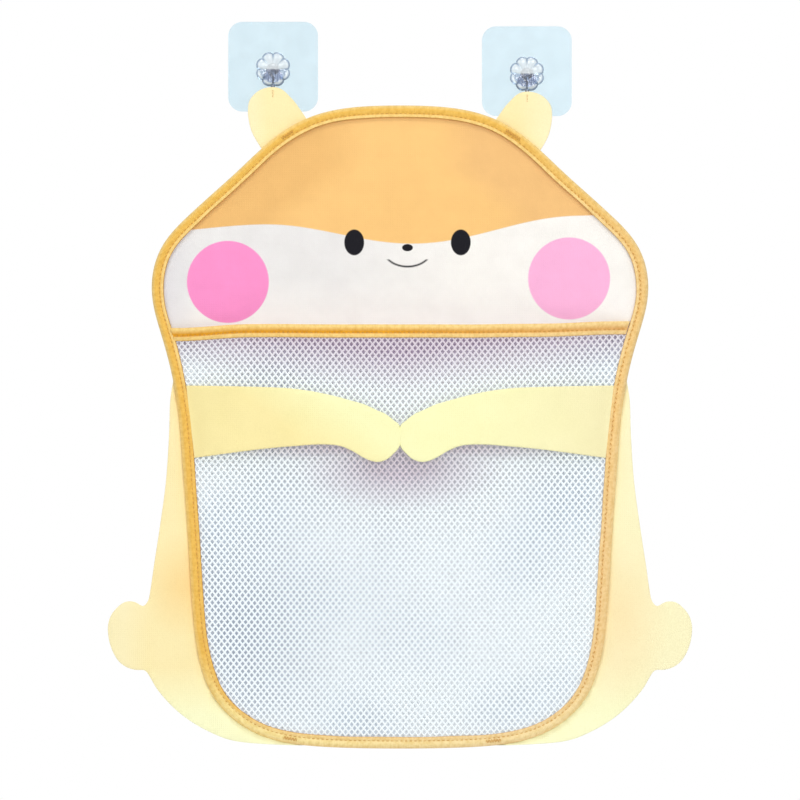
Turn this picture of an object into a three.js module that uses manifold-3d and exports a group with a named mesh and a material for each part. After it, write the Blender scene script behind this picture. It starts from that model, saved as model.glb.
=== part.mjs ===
// A hanging net bag for bath toys, in the shape of a small round-eared animal, on two
// stick-on wall hooks. Millimetres. X runs to the right, +Y into the wall and +Z up.
// The origin lies on the wall, midway between the two hook pivots.
// Depth is measured from the wall towards the room, so y = -depth.

import * as THREE from 'three';
import { mergeVertices } from 'three/addons/utils/BufferGeometryUtils.js';
import Module from 'manifold-3d';

const wasm = await Module();
wasm.setup();

// Wall hooks
const hookSpacing = 169.6;       // between the two pivots
const hookStagger = 3;           // the right hook is stuck this much lower than the left one
const plateSide = 60;
const plateCornerRadius = 9.5;
const plateRise = 1.8;           // from the pivot up to the plate's centre
const padThickness = 0.6;
const plateThickness = 1;
const bossRadius = 11.9;
const bossBackWall = 1.8;
const bossFrontWall = 1.6;
const bossPetals = 8;
const bossNotchShare = 0.13;
const petalRoundness = 0.7;
const pinRadius = 1.5;
const pinClearance = 0.1;
const pinSeat = 1;               // how far the pin goes into each wall of the boss
const wireRadius = 1.1;
const wireClearance = 0.3;       // round the wire, at its slot and its pin
const fanHalfAngle = THREE.MathUtils.degToRad(44);
const stemLength = 13;           // from the pivot down to where the J bend starts
const bendRadius = 4.6;          // of the wire's centre line in the J bend
const tipRise = 1;               // the straight end past the bend
const tipRadius = 1.5;

// Hanging loops and ears
const loopCordRadius = 0.9;
const loopDrop = 9;              // from the J bend down to the loop's ends
const loopSpread = 3;            // from the middle to each end
const tabWidth = 10;
const tabHeight = 7;
const tabThickness = 0.9;
const earWidth = 44;
const earHeight = 52;
const earTopDrop = 11;           // from the pivot down to the ear's tip
const earLean = 1;               // the ear's tip stands this far outside its hook
const earCloth = 1.6;

// Bag
const bagWidth = 332;
const bagHeight = 429.4;
const bagTopDrop = 23.2;         // from the origin down to the top of the head
const bodyWidth = 390;
const bodyTopDrop = 142;         // from the head's top down to the body panel's top edge
const bodyFootRise = 1.8;        // the body panel ends this much above the bag's lowest point
const bodyCloth = 1.6;
const faceCloth = 1.2;
const netCloth = 0.8;
const armCloth = 2.4;
const tapeCloth = 1;
const bindingWidth = 8;
const bindingEdgeRadius = 0.6;
const seamInset = 2.5;           // from the binding's edge in to the edge of the sheets it holds
const mouthDrop = 145.7;         // from the head's top down to the top of the pocket's hem
const hemHeight = 8.6;
const pocketDepth = 26;          // how far the pocket's mouth stands open
const armTopDrop = 186.5;        // from the head's top down to the arm's top edge
const armHeight = 50;
const armStandoff = 2;           // how far an arm lifts off the net
const handGap = 0.4;             // between the two hands
const sheetGap = 0.3;            // between sheets, and between a piece and its neighbour
const wallGap = 0.4;             // between the bag's foot and the wall
const overrun = 1;               // by which a cutter passes the face that it cuts

// Counts
const roundSides = 8;
const pinSides = 16;
const petalSteps = 6;
const cornerSteps = 6;
const wireSteps = 52;
const loopSteps = 26;
const tipSteps = 4;
const outlineSteps = 64;
const bodySteps = 92;
const earSteps = 48;
const curveSteps = 60;
const netColumns = 26;
const netRows = 20;
const armRows = 4;

// Half outlines as [share of the half width, share of the height from the bottom].
const bagOutlineShares = [
  [0, 1], [0.241, 0.9946], [0.402, 0.976], [0.554, 0.934], [0.671, 0.8905],
  [0.779, 0.8548], [0.867, 0.8207], [0.94, 0.7943], [0.976, 0.7663], [0.996, 0.729],
  [1, 0.7027], [0.976, 0.6685], [0.952, 0.637], [0.912, 0.574], [0.888, 0.5116],
  [0.869, 0.4185], [0.847, 0.294], [0.831, 0.201], [0.807, 0.139], [0.747, 0.077],
  [0.659, 0.0427], [0.566, 0.021], [0.422, 0.007], [0, 0],
];
const bodyOutlineShares = [
  [0, 1], [0.5, 1], [0.7, 0.985], [0.75, 0.93], [0.777, 0.85], [0.786, 0.808],
  [0.79, 0.73], [0.801, 0.62], [0.819, 0.527], [0.84, 0.433], [0.862, 0.341],
  [0.872, 0.3265], [0.9, 0.336], [0.935, 0.339], [0.972, 0.322], [0.995, 0.298],
  [1, 0.273], [0.992, 0.237], [0.962, 0.198], [0.915, 0.179], [0.877, 0.179],
  [0.829, 0.131], [0.769, 0.086], [0.708, 0.054], [0.643, 0.03], [0.581, 0.014],
  [0.45, 0.004], [0, 0],
];
// The ear's outline goes once round, from the root inside the head, over the tip.
// X is a share of the width from the outer side, Z a share of the height from the root.
const earOutlineShares = [
  [0.4, 0.02], [0.28, 0.1], [0.19, 0.205], [0.05, 0.42], [0, 0.68], [0.033, 0.823],
  [0.17, 0.955], [0.355, 1], [0.506, 0.975], [0.665, 0.836], [0.788, 0.692],
  [0.87, 0.59], [1, 0.4], [0.95, 0.18], [0.7, 0.03],
];
// An arm from its hand to its seam: [share of the length, top edge, bottom edge], the
// edges as shares of the arm's height, downwards from its top.
const armShares = [
  [0, 0.53, 0.77], [0.033, 0.433, 0.893], [0.067, 0.36, 0.967], [0.114, 0.3, 0.996],
  [0.171, 0.227, 0.947], [0.238, 0.173, 0.84], [0.305, 0.12, 0.776], [0.405, 0.06, 0.767],
  [0.524, 0.017, 0.793], [0.667, 0.004, 0.833], [0.81, 0, 0.887], [1, 0, 0.967],
];
const netSidePower = 2.4;        // how square the pocket is across its width
const netDropPower = 1.7;        // and how its depth fades towards the bottom
const netFlatShare = 0.5;        // least width of the net's inner columns, by the bottom

// Depths from the wall
const plateFront = padThickness + plateThickness;
const slotBack = plateFront + bossBackWall;
const slotFront = slotBack + 2 * (wireRadius + wireClearance);
const bossFront = slotFront + bossFrontWall;
const stemDepth = (slotBack + slotFront) / 2;
const cradleDepth = stemDepth + bendRadius;
const tipDepth = cradleDepth + bendRadius;
const earBack = tipDepth + tipRadius + sheetGap;
const earFront = earBack + earCloth;
const bagBackDepth = earFront + sheetGap;

// Depths inside the bag, from the back of the body panel
const bindingBack = bodyCloth + sheetGap;
const faceBack = bindingBack + tapeCloth + sheetGap;
const faceFront = faceBack + faceCloth;
const netBack = faceFront + sheetGap;
const netFront = netBack + netCloth;
const bindingFront = netFront + sheetGap + tapeCloth;

// Heights inside the bag, from the head's top down
const bodyHeight = bagHeight - bodyTopDrop - bodyFootRise;
const mouthTop = -mouthDrop;
const netTop = mouthTop - tapeCloth - sheetGap;
const hemBottom = mouthTop - hemHeight;
const bagBottom = -bagHeight;
const netFadeEnd = bagBottom + bindingWidth + sheetGap;
const netBottom = bagBottom + seamInset + bindingWidth / 2;
const lean = Math.asin((bagBackDepth - wallGap) / (bodyTopDrop + bodyHeight));

// Heights under a pivot
const bendBottom = stemLength + bendRadius;

const colours = {
  gel: '#e6f3f6', clear: '#daeef5', boss: '#eef6f8', steel: '#b9bec4', cord: '#f4ead0',
  pale: '#ffeeb4', print: '#fbcb80', tape: '#f0be50', mesh: '#eef6fc', arm: '#fdf3b4',
};

function finish(colour, roughness, metalness = 0) {
  return new THREE.MeshStandardMaterial({ color: colour, roughness, metalness });
}

const finishes = {
  gel: finish(colours.gel, 0.4), clear: finish(colours.clear, 0.15),
  boss: finish(colours.boss, 0.2), steel: finish(colours.steel, 0.25, 1),
  cord: finish(colours.cord, 0.9), pale: finish(colours.pale, 0.9),
  print: finish(colours.print, 0.85), tape: finish(colours.tape, 0.85),
  mesh: finish(colours.mesh, 0.8), arm: finish(colours.arm, 0.9),
};

function part(name, geometry, material) {
  const mesh = new THREE.Mesh(geometry, material);
  mesh.name = name;
  return mesh;
}

// A flat piece drawn in X and Z, from one depth towards the room.
function slab(shape, backDepth, thickness) {
  const geometry = new THREE.ExtrudeGeometry(shape, {
    depth: thickness, bevelEnabled: false, curveSegments: cornerSteps,
  });
  geometry.rotateX(Math.PI / 2);
  geometry.translate(0, -backDepth, 0);
  return geometry;
}

function roundedRectangle(width, height, radius, centreX, centreZ) {
  const shape = new THREE.Shape();
  const left = centreX - width / 2;
  const right = centreX + width / 2;
  const low = centreZ - height / 2;
  const high = centreZ + height / 2;
  shape.moveTo(left + radius, low);
  shape.lineTo(right - radius, low);
  shape.absarc(right - radius, low + radius, radius, -Math.PI / 2, 0);
  shape.lineTo(right, high - radius);
  shape.absarc(right - radius, high - radius, radius, 0, Math.PI / 2);
  shape.lineTo(left + radius, high);
  shape.absarc(left + radius, high - radius, radius, Math.PI / 2, Math.PI);
  shape.lineTo(left, low + radius);
  shape.absarc(left + radius, low + radius, radius, Math.PI, 3 * Math.PI / 2);
  return shape;
}

function toSolid(geometry) {
  const bare = geometry.clone();
  bare.deleteAttribute('normal');
  bare.deleteAttribute('uv');
  const merged = mergeVertices(bare);
  return new wasm.Manifold(new wasm.Mesh({
    numProp: 3,
    vertProperties: new Float32Array(merged.attributes.position.array),
    triVerts: new Uint32Array(merged.index.array),
  }));
}

function toGeometry(solid) {
  const mesh = solid.getMesh();
  const geometry = new THREE.BufferGeometry();
  geometry.setAttribute('position', new THREE.BufferAttribute(mesh.vertProperties, 3));
  geometry.setIndex(new THREE.BufferAttribute(mesh.triVerts, 1));
  return geometry;
}

// A closed body from rows of points. Every row is a closed section, and the rows either
// go round to the first again, with no cap, or end in two caps. The section's first and
// last halves are split along opposite diagonals, so that a sheet's two faces match.
function loft(rows, capFaces) {
  const sides = rows[0].length;
  const positions = rows.flat().flatMap((p) => [p.x, p.y, p.z]);
  const faces = [];
  const spans = capFaces ? rows.length - 1 : rows.length;
  for (let i = 0; i < spans; i += 1) {
    const a = i * sides;
    const b = ((i + 1) % rows.length) * sides;
    for (let j = 0; j < sides; j += 1) {
      const k = (j + 1) % sides;
      const quad = [a + j, a + k, b + k, b + j];
      const [p, q, r, s] = j < sides / 2 ? quad : [...quad.slice(1), quad[0]];
      faces.push(p, q, r, p, r, s);
    }
  }
  if (capFaces) {
    faces.push(...capFaces(rows[0], 0, false));
    faces.push(...capFaces(rows.at(-1), (rows.length - 1) * sides, true));
  }
  const geometry = new THREE.BufferGeometry();
  geometry.setAttribute('position', new THREE.Float32BufferAttribute(positions, 3));
  geometry.setIndex(faces);
  return geometry;
}

// The cap of a flat end section, which is drawn in Y and Z.
function flatCap(row, first, last) {
  const outline = row.map((p) => new THREE.Vector2(p.y, p.z));
  const clockwise = THREE.ShapeUtils.area(outline) < 0;
  const triangles = THREE.ShapeUtils.triangulateShape(outline, []);
  const turn = clockwise !== last;
  return triangles.flatMap(([a, b, c]) => (
    turn ? [first + a, first + b, first + c] : [first + a, first + c, first + b]));
}

// The cap along the edge of a sheet, whose front and back points face each other.
function edgeCap(row, first, last) {
  const faces = [];
  for (let i = 0; i < row.length / 2 - 1; i += 1) {
    const [a, b] = [first + i, first + i + 1];
    const [c, d] = [first + row.length - 2 - i, first + row.length - 1 - i];
    faces.push(...(last ? [a, b, c, a, c, d] : [a, c, b, a, d, c]));
  }
  return faces;
}

// Turns a body the right way out if its rows ran the other way.
function outward(geometry) {
  const p = geometry.attributes.position;
  const index = geometry.index.array;
  const corner = [new THREE.Vector3(), new THREE.Vector3(), new THREE.Vector3()];
  let volume = 0;
  for (let i = 0; i < index.length; i += 3) {
    corner.forEach((v, k) => v.fromBufferAttribute(p, index[i + k]));
    volume += corner[0].dot(corner[1].clone().cross(corner[2]));
  }
  if (volume < 0) {
    const turned = [];
    for (let i = 0; i < index.length; i += 3) {
      turned.push(index[i], index[i + 2], index[i + 1]);
    }
    geometry.setIndex(turned);
  }
  return geometry;
}

// Half an outline as evenly spaced points, from the top middle to the bottom middle.
function halfOutline(shares, width, height, topZ, steps) {
  const points = shares.map(([x, z]) => (
    new THREE.Vector3(x * width / 2, 0, topZ - height + z * height)));
  const mirrored = [points[1], points.at(-2)].map((p) => new THREE.Vector3(-p.x, 0, p.z));
  const curve = new THREE.CatmullRomCurve3([mirrored[0], ...points, mirrored[1]]);
  const first = 1 / (points.length + 1);
  const dense = curve.getPoints(points.length * curveSteps)
    .filter((p, i, all) => i / (all.length - 1) >= first && i / (all.length - 1) <= 1 - first);
  dense[0].x = 0;
  dense.at(-1).x = 0;
  const polyline = new THREE.CurvePath();
  for (let i = 1; i < dense.length; i += 1) {
    polyline.add(new THREE.LineCurve3(dense[i - 1], dense[i]));
  }
  return polyline.getSpacedPoints(steps);
}

// The same half, moved in by a distance along its normals.
function inset(half, distance) {
  return half.map((p, i) => {
    const before = half[i - 1] ?? new THREE.Vector3(-half[1].x, 0, half[1].z);
    const after = half[i + 1] ?? new THREE.Vector3(-half.at(-2).x, 0, half.at(-2).z);
    const along = after.clone().sub(before).normalize();
    return new THREE.Vector3(p.x + along.z * distance, 0, p.z - along.x * distance);
  });
}

function wholeOutline(half) {
  const left = half.slice(1, -1).reverse().map((p) => new THREE.Vector3(-p.x, 0, p.z));
  return [...half, ...left];
}

function shapeOf(outline) {
  return new THREE.Shape(outline.map((p) => new THREE.Vector2(p.x, p.z)));
}

// The half width of an outline at a height.
function widthAt(half, z) {
  for (let i = 1; i < half.length; i += 1) {
    const [upper, lower] = [half[i - 1], half[i]];
    if (z <= upper.z && z >= lower.z && upper.z > lower.z) {
      const share = (upper.z - z) / (upper.z - lower.z);
      return upper.x + share * (lower.x - upper.x);
    }
  }
  return 0;
}

const bagHalf = halfOutline(bagOutlineShares, bagWidth, bagHeight, 0, outlineSteps);
const sheetHalf = inset(bagHalf, seamInset);
const freeHalf = inset(bagHalf, bindingWidth + sheetGap);
const bodyHalf = halfOutline(bodyOutlineShares, bodyWidth, bodyHeight, -bodyTopDrop,
  bodySteps);

// How far the net stands forward of its flat edge.
function bulge(x, z) {
  const drop = (netTop - z) / (netTop - netFadeEnd);
  const free = widthAt(freeHalf, z);
  if (drop >= 1 || free <= Math.abs(x)) return 0;
  const across = 1 - (Math.abs(x) / free) ** netSidePower;
  return pocketDepth * across * (1 - Math.max(drop, 0) ** netDropPower);
}

function bagPoint(x, depth, z) {
  return new THREE.Vector3(x, -depth, z);
}

function bodyPanel() {
  return part('body_panel', slab(shapeOf(wholeOutline(bodyHalf)), 0, bodyCloth),
    finishes.pale);
}

function facePanel() {
  return part('face_panel', slab(shapeOf(wholeOutline(sheetHalf)), faceBack, faceCloth),
    finishes.print);
}

// The binding's section, as [distance in from the edge, depth].
function bindingSection() {
  const r = bindingEdgeRadius;
  return [
    [bindingWidth, bindingFront], [bindingWidth, bindingFront - tapeCloth],
    [tapeCloth, bindingFront - tapeCloth], [tapeCloth, bindingBack + tapeCloth],
    [bindingWidth, bindingBack + tapeCloth], [bindingWidth, bindingBack],
    [r, bindingBack], [0, bindingBack + r], [0, bindingFront - r], [r, bindingFront],
  ];
}

function edgeBinding() {
  const tracks = bindingSection().map(([distance, depth]) => (
    wholeOutline(inset(bagHalf, distance)).map((p) => bagPoint(p.x, depth, p.z))));
  const rows = tracks[0].map((_, i) => tracks.map((track) => track[i]));
  return part('edge_binding', outward(loft(rows, null)), finishes.tape);
}

// A curved sheet from a grid of front points, with its back a thickness behind.
function sheetFrom(grid, thicknessOf) {
  const rows = grid.map((line, i) => {
    const back = line.map((p, j) => p.clone().add(
      new THREE.Vector3(0, thicknessOf(i, j), 0)));
    return [...line, ...back.reverse()];
  });
  return outward(loft(rows, edgeCap));
}

function netHeights() {
  return Array.from({ length: netRows + 1 }, (_, i) => {
    const share = Math.sin((i / netRows) * Math.PI / 2);
    return netTop + share * (netFadeEnd - netTop);
  }).concat([netBottom]);
}

// Columns run across the net: its hidden edge, the binding's inner edge, the free part.
function netColumnX(column, z) {
  const held = widthAt(sheetHalf, z);
  const free = Math.max(widthAt(freeHalf, z), netFlatShare * held);
  if (column === 0) return -held;
  if (column === netColumns) return held;
  const share = -1 + 2 * (column - 1) / (netColumns - 2);
  return share * free;
}

function pocketNet() {
  const grid = Array.from({ length: netColumns + 1 }, (_, column) => (
    netHeights().map((z) => {
      const x = netColumnX(column, z);
      return bagPoint(x, netFront + bulge(x, z), z);
    })));
  return part('pocket_net', sheetFrom(grid, () => netCloth), finishes.mesh);
}

// The hem's section over the net's top edge: [height, distance in front of the net].
function hemSection() {
  const outer = sheetGap + tapeCloth;
  return [
    [hemBottom, sheetGap], [hemBottom, outer], [mouthTop - bindingEdgeRadius, outer],
    [mouthTop, outer - bindingEdgeRadius], [mouthTop, -netCloth],
    [mouthTop - tapeCloth, -netCloth], [mouthTop - tapeCloth, sheetGap],
  ];
}

function pocketHem() {
  const rows = Array.from({ length: netColumns + 1 }, (_, column) => {
    const share = -1 + 2 * column / netColumns;
    return hemSection().map(([z, forward]) => {
      const x = share * widthAt(freeHalf, z);
      return bagPoint(x, netFront + bulge(x, z) + forward, z);
    });
  });
  return part('pocket_hem', outward(loft(rows, flatCap)), finishes.tape);
}

function armPoint(side, [along, top, bottom], row) {
  const z = -armTopDrop - armHeight * (top + (bottom - top) * row / armRows);
  const x = handGap / 2 + along * (widthAt(freeHalf, z) - handGap / 2);
  const lift = sheetGap + armStandoff * Math.sin(Math.PI * along);
  return bagPoint(side * x, netFront + bulge(x, z) + lift + armThickness(along), z);
}

// The arm is a full double layer, and is pressed to the tape's thickness at its seam.
function armThickness(along) {
  return tapeCloth + (armCloth - tapeCloth) * Math.min(1, (1 - along) * armShares.length);
}

function arm(name, side) {
  const grid = armShares.map((station) => (
    Array.from({ length: armRows + 1 }, (_, row) => armPoint(side, station, row))));
  return part(name, sheetFrom(grid, (i) => armThickness(armShares[i][0])), finishes.arm);
}

function bag() {
  const group = new THREE.Group();
  group.position.set(0, -bagBackDepth, -bagTopDrop);
  group.rotation.x = lean;
  group.add(bodyPanel(), facePanel(), edgeBinding(), pocketNet(), pocketHem());
  group.add(arm('left_arm', -1), arm('right_arm', 1));
  return group;
}

function ear(name, side, pivot) {
  const tipX = pivot.x + side * earLean;
  const root = pivot.z - earTopDrop - earHeight;
  const tipShare = earOutlineShares.reduce((best, p) => (p[1] > best[1] ? p : best))[0];
  const points = earOutlineShares.map(([x, z]) => (
    new THREE.Vector3(tipX + side * (tipShare - x) * earWidth, 0, root + z * earHeight)));
  const curve = new THREE.CatmullRomCurve3(points, true);
  const outline = curve.getSpacedPoints(earSteps).slice(0, -1);
  return part(name, slab(shapeOf(outline), earBack, earCloth), finishes.pale);
}

function flowerShape(pivot) {
  const count = bossPetals * petalSteps;
  const points = Array.from({ length: count }, (_, i) => {
    const angle = 2 * Math.PI * i / count;
    const swell = Math.abs(Math.sin(bossPetals * angle / 2)) ** petalRoundness;
    const radius = bossRadius * (1 - bossNotchShare * (1 - swell));
    return new THREE.Vector2(
      pivot.x + radius * Math.sin(angle), pivot.z + radius * Math.cos(angle));
  });
  return new THREE.Shape(points);
}

// The slot that the wire swings in: round the eye, and open downwards as a fan.
function fanShape(pivot) {
  const eyeRoom = pinRadius + 2 * (wireRadius + wireClearance);
  const reach = bossRadius + overrun;
  const shape = new THREE.Shape();
  shape.absarc(pivot.x, pivot.z, eyeRoom, 0, Math.PI);
  shape.lineTo(pivot.x - reach * Math.sin(fanHalfAngle) - eyeRoom / 2, pivot.z - reach);
  shape.lineTo(pivot.x + reach * Math.sin(fanHalfAngle) + eyeRoom / 2, pivot.z - reach);
  return shape;
}

function pinBody(pivot, radius, back, front) {
  const geometry = new THREE.CylinderGeometry(radius, radius, front - back, pinSides);
  geometry.translate(pivot.x, -(back + front) / 2, pivot.z);
  return geometry;
}

function flowerBoss(name, pivot) {
  const flower = toSolid(slab(flowerShape(pivot), plateFront, bossFront - plateFront));
  const fan = toSolid(slab(fanShape(pivot), slotBack, slotFront - slotBack));
  const bore = toSolid(pinBody(pivot, pinRadius + pinClearance,
    slotBack - pinSeat - pinClearance, slotFront + pinSeat + pinClearance));
  return part(name, toGeometry(flower.subtract(fan).subtract(bore)), finishes.boss);
}

// The wire: round the pin, down the stem, and up again at the front in a J.
function wirePath(pivot) {
  const eye = pinRadius + wireClearance + wireRadius;
  const at = (x, depth, drop) => new THREE.Vector3(pivot.x + x, -depth, pivot.z - drop);
  const points = [];
  const eyeSteps = 10;
  const eyeStart = -THREE.MathUtils.degToRad(50);
  const eyeEnd = THREE.MathUtils.degToRad(215);
  for (let i = 0; i <= eyeSteps; i += 1) {
    const angle = eyeStart + (eyeEnd - eyeStart) * i / eyeSteps;
    points.push(at(eye * Math.cos(angle), stemDepth, -eye * Math.sin(angle)));
  }
  points.push(at(0, stemDepth, (bossRadius + eye) / 2));
  points.push(at(0, stemDepth, bossRadius));
  const bendSteps = 6;
  for (let i = 0; i <= bendSteps; i += 1) {
    const angle = Math.PI * i / bendSteps;
    points.push(at(0, cradleDepth - bendRadius * Math.cos(angle),
      stemLength + bendRadius * Math.sin(angle)));
  }
  points.push(at(0, tipDepth, stemLength - tipRise));
  return new THREE.CatmullRomCurve3(points, false, 'centripetal');
}

function circleShape(radius, sides) {
  const points = Array.from({ length: sides }, (_, i) => {
    const angle = 2 * Math.PI * (i + 1 / 2) / sides;
    return new THREE.Vector2(radius * Math.cos(angle), radius * Math.sin(angle));
  });
  return new THREE.Shape(points);
}

function tube(curve, radius, steps) {
  return new THREE.ExtrudeGeometry(circleShape(radius, roundSides), {
    steps, extrudePath: curve, bevelEnabled: false,
  });
}

function wireHook(name, pivot) {
  const wire = toSolid(tube(wirePath(pivot), wireRadius, wireSteps));
  const ball = new THREE.SphereGeometry(tipRadius, 2 * tipSteps, tipSteps);
  ball.translate(pivot.x, -tipDepth, pivot.z - stemLength + tipRise);
  return part(name, toGeometry(wire.add(toSolid(ball))), finishes.steel);
}

// The loop lies over the J bend and comes forward to the ear's back.
function loopPath(pivot) {
  const arch = wireRadius + sheetGap + loopCordRadius;
  const endDepth = earBack - sheetGap - loopCordRadius;
  const endDrop = bendBottom + loopDrop;
  const at = (x, depth, drop) => new THREE.Vector3(pivot.x + x, -depth, pivot.z - drop);
  const legs = (side) => [
    at(side * loopSpread, endDepth, endDrop),
    at(side * loopSpread, endDepth, endDrop - loopDrop / 6),
    at(side * loopSpread, (endDepth + cradleDepth) / 2, bendBottom + loopDrop / 2),
    at(side * (arch + loopSpread) / 2, cradleDepth, bendBottom + loopCordRadius),
  ];
  const top = [];
  const archSteps = 6;
  for (let i = 0; i <= archSteps; i += 1) {
    const angle = Math.PI * i / archSteps;
    top.push(at(-arch * Math.cos(angle), cradleDepth, bendBottom - arch * Math.sin(angle)));
  }
  const points = [...legs(-1), ...top, ...legs(1).reverse()];
  return new THREE.CatmullRomCurve3(points, false, 'centripetal');
}

function hangingLoop(name, pivot) {
  return part(name, tube(loopPath(pivot), loopCordRadius, loopSteps), finishes.cord);
}

function loopTab(name, pivot) {
  const top = pivot.z - bendBottom - loopDrop - sheetGap;
  const shape = roundedRectangle(tabWidth, tabHeight, tabThickness, pivot.x,
    top - tabHeight / 2);
  const back = earBack - sheetGap - tabThickness;
  return part(name, slab(shape, back, tabThickness), finishes.cord);
}

function hookSet(label, side) {
  const pivot = { x: side * hookSpacing / 2, z: -side * hookStagger / 2 };
  const plate = roundedRectangle(plateSide, plateSide, plateCornerRadius, pivot.x,
    pivot.z + plateRise);
  const set = new THREE.Group();
  set.add(
    part(`${label}_adhesive_pad`, slab(plate, 0, padThickness), finishes.gel),
    part(`${label}_plate`, slab(plate, padThickness, plateThickness), finishes.clear),
    flowerBoss(`${label}_flower_boss`, pivot),
    part(`${label}_pivot_pin`,
      pinBody(pivot, pinRadius, slotBack - pinSeat, slotFront + pinSeat), finishes.steel),
    wireHook(`${label}_wire_hook`, pivot),
    hangingLoop(`${label}_loop`, pivot),
    loopTab(`${label}_loop_tab`, pivot),
    ear(`${label}_ear`, side, pivot),
  );
  return set;
}

const organizer = new THREE.Group();
organizer.add(hookSet('left', -1), hookSet('right', 1), bag());

export default organizer;
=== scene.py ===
"""A hanging net bag for bath toys on two stick-on wall hooks, dressed for rendering."""
import math

import bmesh
import bpy
from bpy.props import FloatProperty, FloatVectorProperty, IntProperty, PointerProperty
from mathutils import Matrix, Vector, noise


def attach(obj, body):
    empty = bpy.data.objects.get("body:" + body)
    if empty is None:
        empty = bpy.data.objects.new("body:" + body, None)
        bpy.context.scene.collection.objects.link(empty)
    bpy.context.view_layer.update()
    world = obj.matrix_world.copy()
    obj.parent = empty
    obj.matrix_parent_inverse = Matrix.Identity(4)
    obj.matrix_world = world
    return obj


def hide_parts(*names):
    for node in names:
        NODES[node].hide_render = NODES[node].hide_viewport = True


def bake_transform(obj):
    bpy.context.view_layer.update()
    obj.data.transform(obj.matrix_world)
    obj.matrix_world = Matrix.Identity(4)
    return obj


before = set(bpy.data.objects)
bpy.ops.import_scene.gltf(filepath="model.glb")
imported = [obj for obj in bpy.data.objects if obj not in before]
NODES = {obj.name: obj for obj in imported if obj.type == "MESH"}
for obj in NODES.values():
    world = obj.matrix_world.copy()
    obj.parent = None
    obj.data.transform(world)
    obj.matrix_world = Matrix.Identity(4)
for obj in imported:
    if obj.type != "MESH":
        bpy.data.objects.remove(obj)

bl_info = {
    "name": "Hanging bath toy bag",
    "version": (1, 0, 0),
    "blender": (4, 5, 0),
    "location": "3D View > Sidebar > Toy Bag",
    "description": "Dresses the packed bath toy bag with cloth, net, tape and hooks",
    "category": "Object",
}

MM = 0.001
ACROSS = (1, 0, 0)
UP = (0, 0, 1)
TO_FRONT = Vector((0, -1, 0))
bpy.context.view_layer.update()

# Bag sizes in millimetres, measured from the bag's back at the top of its head. They
# repeat the sizes that the CAD pieces were made from.
BAG_BACK = 17.7
BAG_DROP = 23.2
BAG_HEIGHT = 429.4
BODY_FOOT_RISE = 1.8
WALL_GAP = 0.4
SHEET_GAP = 0.3
BODY_CLOTH = 1.6
FACE_BACK = 3.2
FACE_CLOTH = 1.2
NET_FRONT = 5.5
TAPE_CLOTH = 1
SEAM_INSET = 2.5
BINDING_WIDTH = 8
MOUTH_DROP = 145.7
HEM_LINE = 4.5
NET_SIDE_POWER = 2.4
NET_DROP_POWER = 1.7
HAND_INSET = 0.05
ARM_PAST_TAPE = 0.25
LEAN = math.asin((BAG_BACK - WALL_GAP) / (BAG_HEIGHT - BODY_FOOT_RISE))
NET_TOP = -MOUTH_DROP - TAPE_CLOTH - SHEET_GAP
NET_FADE_END = -BAG_HEIGHT + BINDING_WIDTH + SHEET_GAP

# The cloth's own unevenness, as [height, length of its waves, seed] in millimetres.
NET_WAVES = ((0.9, 34, 4), (0.4, 15, 8))
FACE_WAVES = ((0.6, 60, 1), (0.25, 24, 2))
BODY_WAVES = ((1.6, 45, 3),)
SEAM_WAVES = ((0.12, 70, 5),)
# Where the unevenness fades in, and how full each cloth is, in millimetres.
NET_RIPPLE_DEPTH = 8
FACE_SIDE_FADE = 38
FACE_END_FADE = 45
FACE_HEAD_FADE = 30
FACE_FULLNESS = 3.2
BODY_PUFF = 2.6
BODY_PUFF_START = 0.6
BODY_PUFF_WIDTH = 5
BODY_SIDE_FADE = 40
BODY_SIDE_TURN = 1.4
BODY_SEAM_EASE = 0.12
# The hem's line at its ends, as [rise, start, width] outwards from the middle.
HEM_LEFT = (-3.2, 98, 52)
HEM_RIGHT = (1.3, 70, 80)

# An arm from its hand to its seam: [share of the length, top edge, bottom edge], the
# edges as shares of the arm's height, downwards from its top.
ARM_TOP_DROP = 186.5
ARM_HEIGHT = 50
ARM_SHARES = [
    (0, 0.53, 0.77), (0.033, 0.433, 0.893), (0.067, 0.36, 0.967), (0.114, 0.3, 0.996),
    (0.171, 0.227, 0.947), (0.238, 0.173, 0.84), (0.305, 0.12, 0.776),
    (0.405, 0.06, 0.767), (0.524, 0.017, 0.793), (0.667, 0.004, 0.833),
    (0.81, 0, 0.887), (1, 0, 0.967),
]

# Hook sizes in millimetres, in the row frame. The boss's notches are a share of its
# radius, and its petals' power makes them full or pointed.
PIVOTS = {"left": Vector((-84.8, 0, 1.5)), "right": Vector((84.8, 0, -1.5))}
SIDES = {"left": -1, "right": 1}
PLATE_FRONT = 1.6
BOSS_FRONT = 7.8
BOSS_RADIUS = 11.9
BOSS_NOTCH = 0.13
PETAL_POWER = 0.7
SLOT_BACK = 3.4
SLOT_FRONT = 6.2
FAN_HALF_ANGLE = math.radians(44)
PIN_RADIUS = 1.5
WIRE_CLEARANCE = 0.3
STEM_DEPTH = 4.8
STEM_LENGTH = 13
BEND_RADIUS = 4.6
TIP_RISE = 1
CRADLE_DEPTH = STEM_DEPTH + BEND_RADIUS
LOOP_DROP = 9
LOOP_SPREAD = 3
EAR_BACK = 15.8
EAR_CLOTH = 1.6
EAR_TOP_DROP = 11

# The photograph's frame: 800 pixels cover 533.3 mm at the bag.
VIEW_WIDTH = 533.3
VIEW_MIDDLE = -219.5
CAMERA_DISTANCE = 6000
SENSOR = 36


def linear(hex_colour):
    """Turns an sRGB hex colour into the linear values that shaders take."""
    channels = [int(hex_colour[i:i + 2], 16) / 255 for i in (0, 2, 4)]
    return tuple(
        c / 12.92 if c <= 0.04045 else ((c + 0.055) / 1.055) ** 2.4 for c in channels)


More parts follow.
